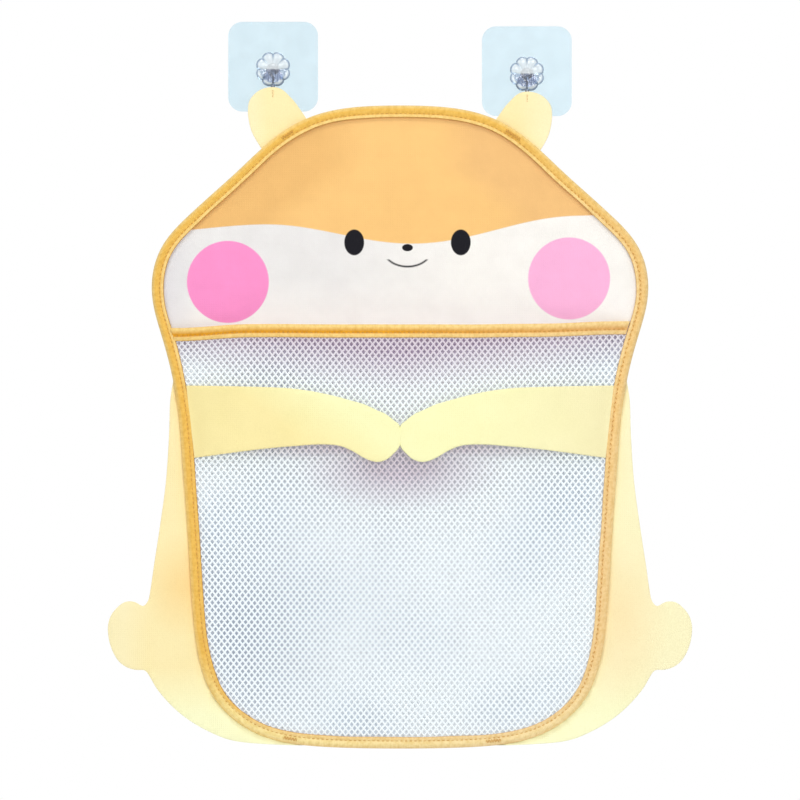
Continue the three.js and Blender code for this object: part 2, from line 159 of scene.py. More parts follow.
def colour(name, words, hex_colour):
    return FloatVectorProperty(
        name=name, description=words, subtype="COLOR", size=3, min=0, max=1,
        default=linear(hex_colour))


def length(name, words, millimetres):
    return FloatProperty(
        name=name, description=words, subtype="DISTANCE", unit="LENGTH", min=0,
        default=millimetres * MM)


class ToyBagSizes(bpy.types.PropertyGroup):
    """Sizes of the soft pieces and their stitching."""

    stitch_length: length("Stitch length", "Length of one visible stitch", 2.3)
    stitch_pitch: length("Stitch pitch", "From one stitch to the next", 3.1)
    thread: length("Thread", "Diameter of the sewing thread", 0.55)
    stitch_line: length("Stitch line", "From the tape's edge in to its stitching", 5.3)
    net_width: length("Net hole width", "Width of one diamond of the net", 4.04)
    net_height: length("Net hole height", "Height of one diamond of the net", 5.1)
    strand: length("Strand", "Width of a knitted strand of the net", 1.18)
    pocket_depth: length("Pocket depth", "How far the mouth stands open", 26)
    arm_cloth: length("Arm thickness", "Thickness of an arm's double cloth", 2.4)
    arm_standoff: length("Arm standoff", "How far an arm lifts off the net", 2)
    wire: length("Wire", "Diameter of the hook wire", 2.2)
    cord: length("Loop cord", "Diameter of the hanging loop's cord", 1.8)
    cloth_grid: length("Cloth grid", "Spacing of the cuts that let cloth bend", 5)
    petals: IntProperty(
        name="Petals", description="Petals of the flower boss", default=8, min=3)


class ToyBagColours(bpy.types.PropertyGroup):
    """Colours of the finishes."""

    apricot: colour("Apricot", "Upper field of the printed head", "FDCB80")
    # Painted shade: the apricot field is painted darker towards its sides.
    apricot_left_shaded: colour("Apricot, left", "The same field on its left", "F1BE75")
    apricot_right_shaded: colour("Apricot, right", "The same on its right", "F4C27E")
    white: colour("White", "Lower field of the printed head", "EEECEA")
    # Painted light and shade on the white field: lighter on its right and above the
    # hem, darker at its left end.
    white_right_lit: colour("White, right", "The same field on its right", "FCF9F3")
    white_left_shaded: colour("White, left", "The same field at its left end", "E6E4E6")
    white_low_lit: colour("White, low", "The same field above the hem", "FFFBF7")
    backing: colour("Backing", "Printed cloth low behind the net", "F6F9FB")
    # Painted shade under the hem and the hands.
    backing_in_shade: colour("Backing, top", "The same cloth under the hem", "B4A3BD")
    backing_blue: colour("Backing, blue", "Bluish patches of the same cloth", "DBE3EC")
    # Painted shade in the hollow low on the left.
    backing_left_shaded: colour("Backing, left", "The same cloth low on its left", "C6CDD9")
    # The cheeks are one print, painted deeper on the left and paler on the right, as
    # painted light and shade.
    cheek: colour("Cheek, left", "Printed cheek disc on the left", "FF97CF")
    cheek_right_lit: colour("Cheek, right", "Printed cheek disc on the right", "FFB9E0")
    ink: colour("Ink", "Printed eyes, nose and mouth", "0B0A14")
    plain: colour("Plain knit", "Unprinted back of the head cloth", "F3F1EC")
    tape: colour("Tape", "Edge tape where it is doubled", "F5C560")
    tape_hem: colour("Tape, hem", "Tape over the pocket's mouth", "F1AC2C")
    # Painted highlight on the tape's roll and its inner band.
    tape_highlight: colour("Tape, light", "Tape at its roll and its inner band", "FEDD90")
    tape_foot_lit: colour("Tape, foot", "Tape along the bag's foot", "FFEBA0")
    # The tape's turned-in rim, darkened further by a painted shadow against the cloth.
    tape_rim_and_shadow: colour("Tape, rim", "Turned-in rim of the tape", "C5862A")
    # Painted light: the tape towards the lower right.
    tape_pale_lit: colour("Tape, faded", "Tape towards the lower right", "FBE0B4")
    thread: colour("Thread", "Sewing thread of the tape", "D69E42")
    pale: colour("Pale cloth", "Body and ears", "FFEFB8")
    # Painted light: the body's right side is lighter.
    pale_right_lit: colour("Pale cloth, right", "The body's right side", "FFF8CC")
    pale_low: colour("Pale cloth, low", "The body's lower edge", "FFFFD2")
    # Painted shade beside the tape on each side.
    warm_left_shade: colour("Pale cloth, warm left", "Beside the left tape", "FFE1A0")
    warm_right_shade: colour("Pale cloth, warm right", "Beside the right tape", "FFECBB")
    paw: colour("Pale cloth, tips", "Left paw and the ears' outer sides", "FFF3C4")
    arm: colour("Arm cloth", "Arms at the hands", "FFFEC6")
    # Painted shade: the arms towards their seams.
    arm_left_shaded: colour("Arm cloth, left", "Left arm at its seam", "FFF0AE")
    arm_right_shaded: colour("Arm cloth, right", "Right arm at its seam", "FFF7C4")
    net: colour("Net", "Knitted net", "F6FDFF")
    net_shade: colour("Net, shade", "The net under the hem and the hands", "D6CAD4")
    # Painted light: a glow that the net's yarn gives off.
    net_painted_glow: colour("Brightener", "What the net's yarn gives back", "E4F0FF")
    clear: colour("Clear sheet", "Hook plates", "DFF2FA")
    boss: colour("Flower", "Flower boss", "F4FBFF")
    # Painted shade along the flower's petal lines and rim.
    flower_shade_lines: colour("Flower lines", "Lines round the flower's petals", "98ABC4")
    steel: colour("Steel", "Hook wire and pin", "7F858F")
    # Painted shade over the flower's slot.
    slot_shade: colour("Slot", "What shows through the flower over its slot", "A7ACC8")
    cord: colour("Cord", "Hanging loops and their tabs", "F6EFDC")


def sizes():
    return bpy.context.scene.toy_bag_sizes


def colours():
    return bpy.context.scene.toy_bag_colours


def mm(value):
    """A size from the panel, in millimetres."""
    return value / MM


# Places and outlines

FLAT = 0.9  # a face whose normal points this much to the front or back is flat
MERGE = 0.01  # points this close are one, in millimetres
CUT_OFFSET = 0.013  # keeps the cloth's cuts off its outline's own points
PUCKER_WIDTH = 1.9  # how far to each side a stitch line draws the tape in


def bag_matrix():
    """From bag millimetres (across, into the wall, up) to the row frame in metres."""
    place = Matrix.Translation((0, -BAG_BACK, -BAG_DROP))
    return Matrix.Scale(MM, 4) @ place @ Matrix.Rotation(LEAN, 4, "X")


def row_matrix():
    """From row millimetres to metres."""
    return Matrix.Scale(MM, 4)


def front_outline(node, to_plane):
    """The outline of a flat CAD sheet's front, as (across, up) once round."""
    mesh = bmesh.new()
    mesh.from_mesh(NODES[node].data)
    bmesh.ops.transform(mesh, matrix=to_plane.inverted(), verts=mesh.verts)
    bmesh.ops.remove_doubles(mesh, verts=mesh.verts, dist=MERGE)
    mesh.normal_update()
    front = {face for face in mesh.faces if face.normal.y < -FLAT}
    rim = [e for e in mesh.edges if sum(face in front for face in e.link_faces) == 1]
    follows = {}
    for edge in rim:
        for vertex in edge.verts:
            follows.setdefault(vertex, []).append(edge.other_vert(vertex))
    start = max(follows, key=lambda v: v.co.z)
    walk, last = [start], None
    while len(walk) < len(follows):
        ahead = [v for v in follows[walk[-1]] if v is not last]
        last = walk[-1]
        walk.append(ahead[0])
    points = [Vector((v.co.x, v.co.z)) for v in walk]
    mesh.free()
    return points if turns_clockwise(points) else points[::-1]


def ring_pairs(points):
    return list(zip(points, points[1:] + points[:1]))


def turns_clockwise(points):
    return sum(a.x * b.y - b.x * a.y for a, b in ring_pairs(points)) < 0


def smoothed(points, times, closed=True):
    """More points on a smooth curve through the given ones."""
    count = len(points)
    result = []
    for i in range(count if closed else count - 1):
        near = [points[(i + k) % count if closed else min(max(i + k, 0), count - 1)]
                for k in (-1, 0, 1, 2)]
        for step in range(times):
            t = step / times
            a, b, c, d = near
            result.append((2 * b + (c - a) * t + (2 * a - 5 * b + 4 * c - d) * t ** 2
                           + (3 * b - a - 3 * c + d) * t ** 3) / 2)
    return result if closed else result + [points[-1]]


def evenly(points, count, closed=True):
    """The same line, in points that are evenly spaced along it."""
    line = points + points[:1] if closed else points
    reached = [0]
    for a, b in zip(line, line[1:]):
        reached.append(reached[-1] + (b - a).length)
    total = reached[-1]
    result, k = [], 0
    for i in range(count):
        at = total * i / (count if closed else count - 1)
        while k < len(line) - 2 and reached[k + 1] < at:
            k += 1
        span = reached[k + 1] - reached[k]
        share = (at - reached[k]) / span if span else 0
        result.append(line[k].lerp(line[k + 1], share))
    return result


def inward(points, distance):
    """A clockwise outline moved in by a distance along its normals."""
    count = len(points)
    result = []
    for i, point in enumerate(points):
        along = (points[(i + 1) % count] - points[i - 1]).normalized()
        result.append(point + Vector((along.y, -along.x)) * distance)
    return result


def width_table(points):
    """An outline's half widths, one for each millimetre down from the head's top."""
    table = []
    for drop in range(math.ceil(BAG_HEIGHT) + 2):
        crossings = [a.x + (a.y + drop) / (a.y - b.y) * (b.x - a.x)
                     for a, b in ring_pairs(points) if a.y >= -drop > b.y]
        table.append(max([x for x in crossings if x > 0], default=0))
    return table


def half_width(table, z):
    """The half width of an outline at a height."""
    drop = min(max(-z, 0), len(table) - 1.001)
    above = int(drop)
    return table[above] + (drop - above) * (table[above + 1] - table[above])


def ease(value):
    value = min(max(value, 0), 1)
    return value * value * (3 - 2 * value)


def wander(x, z, size, seed):
    """Slow unevenness between -1 and 1, whose waves are about that many mm long."""
    return noise.noise(Vector((x / size, seed, z / size)))


def waves(x, z, layers):
    """Unevenness of a cloth from layers of [height, length, seed]."""
    return sum(height * wander(x, z, size, seed) for height, size, seed in layers)


def averaged(points, passes):
    """A closed line whose points are drawn to the middle of their neighbours."""
    count = len(points)
    for _ in range(passes):
        points = [points[i - 1] / 4 + points[i] / 2 + points[(i + 1) % count] / 4
                  for i in range(count)]
    return points


def eased(points, count, passes):
    """An outline without its small corners. What averaging takes off the wide curves
    is given back to them."""
    line = evenly(points, count)
    soft = averaged(line, passes)
    lost = averaged([p - q for p, q in zip(line, soft)], passes)
    return [p + q for p, q in zip(soft, lost)]


FACE_OUTLINE = eased(smoothed(front_outline("face_panel", bag_matrix()), 3), 470, 60)
BAG_OUTLINE = inward(FACE_OUTLINE, -SEAM_INSET)
FREE_OUTLINE = inward(FACE_OUTLINE, BINDING_WIDTH + SHEET_GAP - SEAM_INSET)
BODY_OUTLINE = smoothed(front_outline("body_panel", bag_matrix()), 3)
BAG_WIDTHS = width_table(BAG_OUTLINE)
FREE_WIDTHS = width_table(FREE_OUTLINE)
NET_WIDTHS = width_table(inward(FACE_OUTLINE, 2.3))


def bulge(x, z):
    """How far the net stands forward of its flat edge."""
    drop = (NET_TOP - z) / (NET_TOP - NET_FADE_END)
    free = half_width(FREE_WIDTHS, z)
    if drop >= 1 or free <= abs(x):
        return 0
    across = 1 - (abs(x) / free) ** NET_SIDE_POWER
    depth = mm(sizes().pocket_depth) * across * (1 - max(drop, 0) ** NET_DROP_POWER)
    ripple = waves(x, z, NET_WAVES)
    return max(depth + ripple * ease(depth / NET_RIPPLE_DEPTH), 0)


def hem_rise(x):
    """How far the hem sags at its left end and rises at its right."""
    return sum(rise * ease((side * x - start) / width)
               for side, (rise, start, width) in ((-1, HEM_LEFT), (1, HEM_RIGHT)))


def face_forward(x, z):
    """The face cloth's place: its front is gently full, and it waves behind the net."""
    free = half_width(FREE_WIDTHS, z)
    held = (ease((free - abs(x)) / FACE_SIDE_FADE) * ease(-z / FACE_END_FADE)
            * ease((z + BAG_HEIGHT) / FACE_END_FADE))
    head = ease((z + MOUTH_DROP) / FACE_HEAD_FADE + 1)
    return FACE_BACK + held * (FACE_FULLNESS * head + waves(x, z, FACE_WAVES))


def body_forward(x, z):
    """The body cloth's place: flat behind the bag, and turned up a little beside it."""
    outside = max(abs(x) - half_width(BAG_WIDTHS, z), 0)
    free = ease(outside / BODY_SIDE_FADE)
    puff = BODY_PUFF * ease((outside + BODY_PUFF_START) / BODY_PUFF_WIDTH)
    return ((puff if outside else 0) + free * (BODY_SIDE_TURN + waves(x, z, BODY_WAVES))
            + BODY_SEAM_EASE + waves(x, z, SEAM_WAVES))


# Meshes


def pucker(distance, line, along, depth):
    """How far sewn tape is drawn in near its stitch line, most at every stitch."""
    near = math.exp(-((distance - line) / PUCKER_WIDTH) ** 2)
    turn = math.cos(2 * math.pi * along / mm(sizes().stitch_pitch))
    return depth * near * (1 + turn) / 2


def keep(mesh, place, name, material, body=None, replaced=()):
    """Makes a piece from a mesh in millimetres, with its finish, its body and the CAD
    nodes that it stands for."""
    bmesh.ops.transform(mesh, matrix=place, verts=mesh.verts)
    bmesh.ops.recalc_face_normals(mesh, faces=mesh.faces)
    for face in mesh.faces:
        face.smooth = True
    data = bpy.data.meshes.new(name)
    mesh.to_mesh(data)
    mesh.free()
    data.materials.append(material)
    piece = bpy.data.objects.new(name, data)
    bpy.context.scene.collection.objects.link(piece)
    if body:
        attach(piece, body)
    if replaced:
        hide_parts(*replaced)
    return piece


def slab(outline, back, front):
    """A flat outline drawn out from one distance in front of the wall to another."""
    mesh = bmesh.new()
    mesh.faces.new([mesh.verts.new((x, -back, z)) for x, z in outline])
    raised = bmesh.ops.extrude_face_region(mesh, geom=mesh.faces[:])
    moved = [e for e in raised["geom"] if isinstance(e, bmesh.types.BMVert)]
    bmesh.ops.translate(mesh, vec=(0, back - front, 0), verts=moved)
    bmesh.ops.recalc_face_normals(mesh, faces=mesh.faces)
    return mesh


def cloth(outline, thickness, rounding, pitch, place):
    """A closed sheet from a flat outline: thickened, its rims rounded, cut by a grid so
    that it can bend, and every point then placed by place(x, forward from the sheet's
    back, z)."""
    mesh = slab(outline, 0, thickness)
    rims = [edge for edge in mesh.edges
            if any(abs(face.normal.y) > FLAT for face in edge.link_faces)]
    bmesh.ops.bevel(mesh, geom=rims, offset=rounding, segments=2, profile=0.5,
                    affect="EDGES", material=-1, clamp_overlap=True)
    for axis in (0, 2):
        normal = Vector((0, 0, 0))
        normal[axis] = 1
        low = min(v.co[axis] for v in mesh.verts)
        high = max(v.co[axis] for v in mesh.verts)
        for i in range(math.ceil(low / pitch), math.floor(high / pitch) + 1):
            bmesh.ops.bisect_plane(
                mesh, geom=mesh.verts[:] + mesh.edges[:] + mesh.faces[:],
                dist=0.001, plane_co=normal * (i * pitch + CUT_OFFSET),
                plane_no=normal)
    bmesh.ops.remove_doubles(mesh, verts=mesh.verts, dist=MERGE)
    for vertex in mesh.verts:
        x, y, z = vertex.co
        vertex.co = place(x, -y, z)
    return mesh


def wrap(along, around, place, uv_at):
    """A surface from a grid whose points are placed by place(i, j), with a UV map in
    metres from uv_at(i, j) in millimetres. Edges that meet are joined, so the surface
    can close on itself both ways."""
    mesh = bmesh.new()
    bmesh.ops.create_grid(mesh, x_segments=along, y_segments=around, size=1)
    uv = mesh.loops.layers.uv.new("Weave")
    step = {}
    for vertex in mesh.verts:
        i = round((vertex.co.x + 1) / 2 * along)
        j = round((vertex.co.y + 1) / 2 * around)
        step[vertex] = (i, j)
    for face in mesh.faces:
        for loop in face.loops:
            loop[uv].uv = Vector(uv_at(*step[loop.vert])) * MM
    for vertex, (i, j) in step.items():
        vertex.co = place(i, j)
    bmesh.ops.remove_doubles(mesh, verts=mesh.verts, dist=0.0005)
    return mesh


def tube(points, radius, sides, relief=None):
    """A round rod along a line of points, with rounded ends. Its radius may vary by the
    share of the way along, and relief(distance, angle) raises its surface."""
    radius_at = radius if callable(radius) else lambda share: radius
    last = len(points) - 1
    tangents = [(points[min(i + 1, last)] - points[max(i - 1, 0)]).normalized()
                for i in range(last + 1)]
    side = tangents[0].orthogonal().normalized()
    frames = []
    for tangent in tangents:
        side = (side - tangent * side.dot(tangent)).normalized()
        frames.append((side.copy(), tangent.cross(side)))
    reached = [0]
    for a, b in zip(points, points[1:]):
        reached.append(reached[-1] + (b - a).length)
    cap = [math.pi / 2 * k / 4 for k in range(4)]
    rings = [(0, -math.cos(a), math.sin(a)) for a in cap]
    rings += [(i, 0, 1) for i in range(last + 1)]
    rings += [(last, math.cos(a), math.sin(a)) for a in reversed(cap)]

    def place(i, j):
        at, ahead, spread = rings[i]
        thick = radius_at(at / last)
        angle = 2 * math.pi * (j % sides) / sides
        raised = relief(reached[at], angle) * spread if relief else 0
        first, second = frames[at]
        return (points[at] + tangents[at] * ahead * thick
                + (first * math.cos(angle) + second * math.sin(angle))
                * (thick * spread + raised))

    def uv_at(i, j):
        at, ahead, spread = rings[i]
        return reached[at] + ahead, 2 * math.pi * j / sides * radius_at(at / last)

    return wrap(len(rings) - 1, sides, place, uv_at)


def stitch(mesh, middle, along, out, size):
    """Adds one thread stitch: a small capsule lying along a line."""
    side = along.cross(out).normalized()
    turn = Matrix((along.normalized(), out.normalized(), side)).transposed().to_4x4()
    stretch = Matrix.Diagonal((*size, 1))
    bmesh.ops.create_uvsphere(
        mesh, u_segments=6, v_segments=4, radius=0.5,
        matrix=Matrix.Translation(middle) @ turn @ stretch)


# Materials

ANY_DEPTH = 1000  # makes a pattern the same all the way through, in metres
PATCHY = (0.3, 0.7)  # where most values of a noise texture lie


def add(tree, kind, inputs=None, **settings):
    """Adds a node. An input is a constant, an output socket, or a node, whose first
    output in use is taken."""
    node = tree.nodes.new("ShaderNode" + kind)
    for name, value in settings.items():
        setattr(node, name, value)
    for key, value in (inputs or {}).items():
        if isinstance(value, bpy.types.Node):
            value = next(output for output in value.outputs if output.enabled)
        if isinstance(value, bpy.types.NodeSocket):
            tree.links.new(value, node.inputs[key])
        else:
            node.inputs[key].default_value = value
    return node


def new_material(name, constants):
    """A material with one Principled shader, whose constants sit on its own sockets."""
    material = bpy.data.materials.new(name)
    material.use_nodes = True
    tree = material.node_tree
    tree.nodes.clear()
    shader = add(tree, "BsdfPrincipled", constants)
    add(tree, "OutputMaterial", {"Surface": shader})
    return material, tree, shader


def feed(tree, shader, **sources):
    """Links sources to the shader's sockets, whose names have _ for a space."""
    for name, source in sources.items():
        socket = source
        if isinstance(source, bpy.types.Node):
            socket = next(output for output in source.outputs if output.enabled)
        tree.links.new(socket, shader.inputs[name.replace("_", " ")])


def rgba(value):
    return (*value, 1)


def shade(value, factor):
    """A colour made darker or lighter, as an RGBA constant."""
    return (*(min(c * factor, 1) for c in value), 1)


def per_mm(size):
    """The scale at which a noise texture's patches are that many millimetres across."""
    return 1 / (size * MM)


def wave_scale(period):
    """The scale at which a band texture repeats once in that many millimetres."""
    return 2 * math.pi / 20 / (period * MM)


def weave(tree, where, period, directions=("X", "Z")):
    """Threads that cross over and under: the product of two band textures."""
    first, second = [
        add(tree, "TexWave", {"Vector": where, "Scale": wave_scale(period)},
            wave_type="BANDS", bands_direction=direction)
        for direction in directions
    ]
    return add(tree, "Math", {0: first, 1: second}, operation="MULTIPLY")


def tinted(tree, factor, low, high, first, second):
    """A colour between two, as a factor goes from low to high."""
    share = add(tree, "MapRange", {0: factor, 1: low, 2: high})
    return add(tree, "Mix", {0: share, 6: first, 7: second}, data_type="RGBA")


def spot(tree, where, centre, radii, soft=0.04):
    """1 inside an oval on the front of the bag and 0 outside, from its centre and
    half sizes in millimetres. The change takes a soft share of the oval's size."""
    placed = add(tree, "Mapping", {
        "Vector": where, "Location": (centre[0] * MM, 0, centre[1] * MM),
        "Scale": (radii[0] * MM, ANY_DEPTH, radii[1] * MM)}, vector_type="TEXTURE")
    reach = add(tree, "VectorMath", {0: placed}, operation="LENGTH")
    return add(tree, "MapRange", {0: reach, 1: 1 + soft, 2: 1 - soft})


# Places on the front of the bag in room millimetres, as (across, up).
HEM_SHADE = (-216, -188)
HEM_SHADE_SLOPE = -0.13  # how much lower the shade reaches in the middle
HANDS_SHADE = ((0, -262), (45, 20), 0.6)
ARMS_SHADE = ((0, -250), (95, 8), 0.5)
# How much of the hem's shade falls under the hands, on the cloth and on the net.
CLOTH_SHARE = 0.6
NET_SHARE = 1
BEHIND_HEM = (-178, -171)
# Painted shade in the hollow at the lower left of the cloth behind the net.
LOW_LEFT_SHADE = ((-105, -372), (38, 52), 0.8)
HAZE_SIZE = 110
FIELD_WAVE = (-93, 117)
FIELD_WAVE_HEIGHT = -7.8
FIELD_SLOPE = 0.0277
FIELD_LEVEL = -107.8
FIELD_DROOP = -3.2
FIELD_DROOP_ACROSS = (-165, -95)
FIELD_SOFTNESS = 0.35
# Painted light and shade on the head: the apricot is brightest in a middle column that
# widens below, and the white is lighter to the right and above the hem and darker at
# its left end.
COLUMN_ACROSS = (26, 52)
COLUMN_WIDER = 39
COLUMN_WIDER_UP = (-65, -95)
APRICOT_ACROSS = (-20, 20)
WHITE_ACROSS = (-45, 45)
WHITE_LOW_UP = (-138, -164)
WHITE_LEFT_ACROSS = (-132, -156)
CHEEKS = ((-114.7, -140.8), (112.7, -138.5))
CHEEK_RADII = (27.3, 27.3)
EYES = ((-30.5, -114.5), (40.5, -114.5))
EYE_RADII = (6.6, 8.6)
NOSE = (5, -118)
NOSE_RADII = (3.6, 2.4)
SMILE = (5, -120)
SMILE_OUTER = (16, 11.2)
SMILE_INNER = (14.8, 10)
SMILE_UP = (-125.4, -126.2)


def faded(tree, reach, span, first, second):
    """A colour between two, as a reach in metres goes through a span in millimetres."""
    return tinted(tree, reach, span[0] * MM, span[1] * MM, first, second)


def pocket_shade(tree, where, share):
    """How far the net or the cloth behind it lies in shade: under the hem, lowest in
    the middle, where the pocket is deepest, and by a share of that under the hands."""
    axes = add(tree, "SeparateXYZ", {0: where})
    aside = add(tree, "Math", {0: axes.outputs["X"]}, operation="ABSOLUTE")
    sunk = add(tree, "Math", {0: aside, 1: HEM_SHADE_SLOPE, 2: axes.outputs["Z"]},
               operation="MULTIPLY_ADD")
    hem = add(tree, "MapRange", {0: sunk, 1: HEM_SHADE[0] * MM, 2: HEM_SHADE[1] * MM})
    hands = spot(tree, where, *HANDS_SHADE)
    arms = spot(tree, where, *ARMS_SHADE)
    lower = add(tree, "Math", {0: hands, 1: arms}, operation="MAXIMUM")
    faint = add(tree, "Math", {0: lower, 1: share}, operation="MULTIPLY")
    return add(tree, "Math", {0: hem, 1: faint}, operation="MAXIMUM")


def cloth_material(name, constants, fill, period, depth):
    """Cloth whose colour comes from fill(tree, object coordinates, threads), with a
    weave in relief over the slow unevenness of its padding."""
    material, tree, shader = new_material(name, constants)
    where = add(tree, "TexCoord").outputs["Object"]
    threads = weave(tree, where, period)
    nap = add(tree, "TexNoise", {"Vector": where, "Scale": per_mm(1.1), "Detail": 2})
    feed(tree, shader, Base_Color=fill(tree, where, threads))
    relief = add(tree, "Math", {0: threads, 1: nap}, operation="ADD")
    bump = add(tree, "Bump", {"Height": relief, "Distance": depth * MM,
                              "Strength": 0.3})
    feed(tree, shader, Normal=bump)
    return material


def apricot_line(tree, across, up):
    """Height above the apricot field's lower end. It ends lower between the eyes, in
    one soft wave, rises to the right and droops at the far left."""
    turn = add(tree, "MapRange", {0: across, 1: FIELD_WAVE[0] * MM,
                                  2: FIELD_WAVE[1] * MM, 3: -math.pi, 4: math.pi})
    wave = add(tree, "Math", {0: turn}, operation="COSINE")
    slope = add(tree, "Math", {0: across, 1: FIELD_SLOPE, 2: FIELD_LEVEL * MM},
                operation="MULTIPLY_ADD")
    droop = add(tree, "MapRange", {0: across, 1: FIELD_DROOP_ACROSS[0] * MM,
                                   2: FIELD_DROOP_ACROSS[1] * MM,
                                   3: FIELD_DROOP * MM, 4: 0},
                interpolation_type="SMOOTHSTEP")
    level = add(tree, "Math", {0: slope, 1: droop}, operation="ADD")
    line = add(tree, "Math", {0: wave, 1: FIELD_WAVE_HEIGHT * MM, 2: level},
               operation="MULTIPLY_ADD")
    return add(tree, "Math", {0: up, 1: line}, operation="SUBTRACT")


def head_fields(tree, across, up):
    """The head's apricot field over its white one, in painted light and shade. The
    apricot is brightest down the middle, in a column that widens below, and painted
    darker towards its sides. The white is painted lighter on its right and above the
    hem, and darker at its left end."""
    palette = colours()
    aside = add(tree, "Math", {0: across}, operation="ABSOLUTE")
    wider = add(tree, "MapRange", {0: up, 1: COLUMN_WIDER_UP[0] * MM,
                                   2: COLUMN_WIDER_UP[1] * MM, 4: COLUMN_WIDER * MM})
    column = add(tree, "Math", {0: aside, 1: wider}, operation="SUBTRACT")
    sides = faded(tree, across, APRICOT_ACROSS, rgba(palette.apricot_left_shaded),
                  rgba(palette.apricot_right_shaded))
    apricot = faded(tree, column, COLUMN_ACROSS, rgba(palette.apricot), sides)
    white = faded(tree, across, WHITE_ACROSS, rgba(palette.white),
                  rgba(palette.white_right_lit))
    white = faded(tree, up, WHITE_LOW_UP, white, rgba(palette.white_low_lit))
    white = faded(tree, across, WHITE_LEFT_ACROSS, white, rgba(palette.white_left_shaded))
    return faded(tree, apricot_line(tree, across, up),
                 (-FIELD_SOFTNESS, FIELD_SOFTNESS), white, apricot)


def pocket_backing(tree, where):
    """The same cloth behind the net: pale, in slow bluish patches, and in painted
    shade: a little deeper in the hollow at the lower left, and under the hem and the
    hands."""
    palette = colours()
    haze = add(tree, "TexNoise", {"Vector": where, "Scale": per_mm(HAZE_SIZE),
                                  "Detail": 1})
    backing = tinted(tree, haze, 0.42, 0.66, rgba(palette.backing),
                     rgba(palette.backing_blue))
    for share, dye in ((spot(tree, where, *LOW_LEFT_SHADE), palette.backing_left_shaded),
                       (pocket_shade(tree, where, CLOTH_SHARE), palette.backing_in_shade)):
        backing = add(tree, "Mix", {0: share, 6: backing, 7: rgba(dye)},
                      data_type="RGBA")
    return backing


def face_marks(tree, where, up):
    """1 on the printed eyes, the nose and a plain smile, which is the lower part of a
    thin oval ring."""
    marks = [spot(tree, where, eye, EYE_RADII) for eye in EYES]
    marks.append(spot(tree, where, NOSE, NOSE_RADII, 0.08))
    ring = add(tree, "Math", {0: spot(tree, where, SMILE, SMILE_OUTER),
                              1: spot(tree, where, SMILE, SMILE_INNER)},
               operation="SUBTRACT")
    low = add(tree, "MapRange", {0: up, 1: SMILE_UP[0] * MM, 2: SMILE_UP[1] * MM})
    marks.append(add(tree, "Math", {0: ring, 1: low}, operation="MULTIPLY"))
    inked = marks[0]
    for mark in marks[1:]:
        inked = add(tree, "Math", {0: inked, 1: mark}, operation="MAXIMUM")
    return inked


def printed_cloth():
    """Polyester knit, printed and laminated on thin foam: matt, with a fine knit that
    only just shows, and soft unevenness from the foam under it."""
    palette = colours()

    def fill(tree, where, threads):
        axes = add(tree, "SeparateXYZ", {0: where})
        across, up = axes.outputs["X"], axes.outputs["Z"]
        # The pocket's shade begins behind the hem, softly.
        printed = faded(tree, up, BEHIND_HEM, pocket_backing(tree, where),
                        head_fields(tree, across, up))
        # Painted light and shade: one cheek print, deeper on the left, paler on the
        # right.
        for centre, dye in zip(CHEEKS, (palette.cheek, palette.cheek_right_lit)):
            disc = spot(tree, where, centre, CHEEK_RADII, 0.012)
            printed = add(tree, "Mix", {0: disc, 6: printed, 7: rgba(dye)},
                          data_type="RGBA")
        printed = add(tree, "Mix", {0: face_marks(tree, where, up), 6: printed,
                                    7: rgba(palette.ink)}, data_type="RGBA")
        # Only the front is printed. The back is the plain knit.
        facing = add(tree, "SeparateXYZ", {0: add(tree, "TexCoord").outputs["Normal"]})
        printed = tinted(tree, facing.outputs["Y"], -0.1, 0.1, printed,
                         rgba(palette.plain))
        mottle = add(tree, "TexNoise", {"Vector": where, "Scale": per_mm(14),
                                        "Detail": 3})
        worn = tinted(tree, mottle, *PATCHY, (0.955, 0.95, 0.95, 1), (1, 1, 1, 1))
        knit = tinted(tree, threads, 0, 1, (0.985, 0.985, 0.985, 1), (1, 1, 1, 1))
        for layer in (worn, knit):
            printed = add(tree, "Mix", {0: 1.0, 6: printed, 7: layer},
                          data_type="RGBA", blend_type="MULTIPLY")
        return printed

    # A real knit of this kind has a stitch every 0.6 mm. It is drawn at 1.5 mm, so
    # that it shows at all.
    return cloth_material(
        "printed_polyester_knit",
        {"Roughness": 0.82, "Sheen Weight": 0.08, "Specular IOR Level": 0.25},
        fill, period=1.5, depth=0.25)


def dyed_cloth(name, main, fades, shade_spots=()):
    """Brushed polyester, dyed and laminated: a soft matt nap with faint mottling. Its
    colour fades along directions, as [direction, (from, to), colour] in millimetres,
    some of them painted light and shade, and is painted warmer in soft ovals of shade,
    as [centre, half sizes, colour]."""

    def fill(tree, where, threads):
        base = rgba(main)
        for direction, span, tint in fades:
            reach = add(tree, "VectorMath", {0: where, 1: direction},
                        operation="DOT_PRODUCT")
            base = faded(tree, reach, span, base, rgba(tint))
        for centre, radii, tint in shade_spots:
            shade_spot = spot(tree, where, centre, radii, 0.8)
            base = add(tree, "Mix", {0: shade_spot, 6: base, 7: rgba(tint)},
                       data_type="RGBA")
        slow = add(tree, "TexNoise", {"Vector": where, "Scale": per_mm(22),
                                      "Detail": 4})
        fine = add(tree, "TexNoise", {"Vector": where, "Scale": per_mm(0.9),
                                      "Detail": 2})
        mottle = tinted(tree, slow, *PATCHY, (0.975, 0.975, 0.94575, 1),
                        (1, 1, 1, 1))
        nap = tinted(tree, fine, 0.35, 0.65, (0.975, 0.97, 0.955, 1), (1, 1, 1, 1))
        for layer in (mottle, nap):
            base = add(tree, "Mix", {0: 1.0, 6: base, 7: layer}, data_type="RGBA",
                       blend_type="MULTIPLY")
        return base

    # The nap's fibres are finer than a pixel, so the weave is drawn at 1.3 mm.
    return cloth_material(
        name, {"Roughness": 0.9, "Sheen Weight": 0.15, "Specular IOR Level": 0.2},
        fill, period=1.3, depth=0.2)


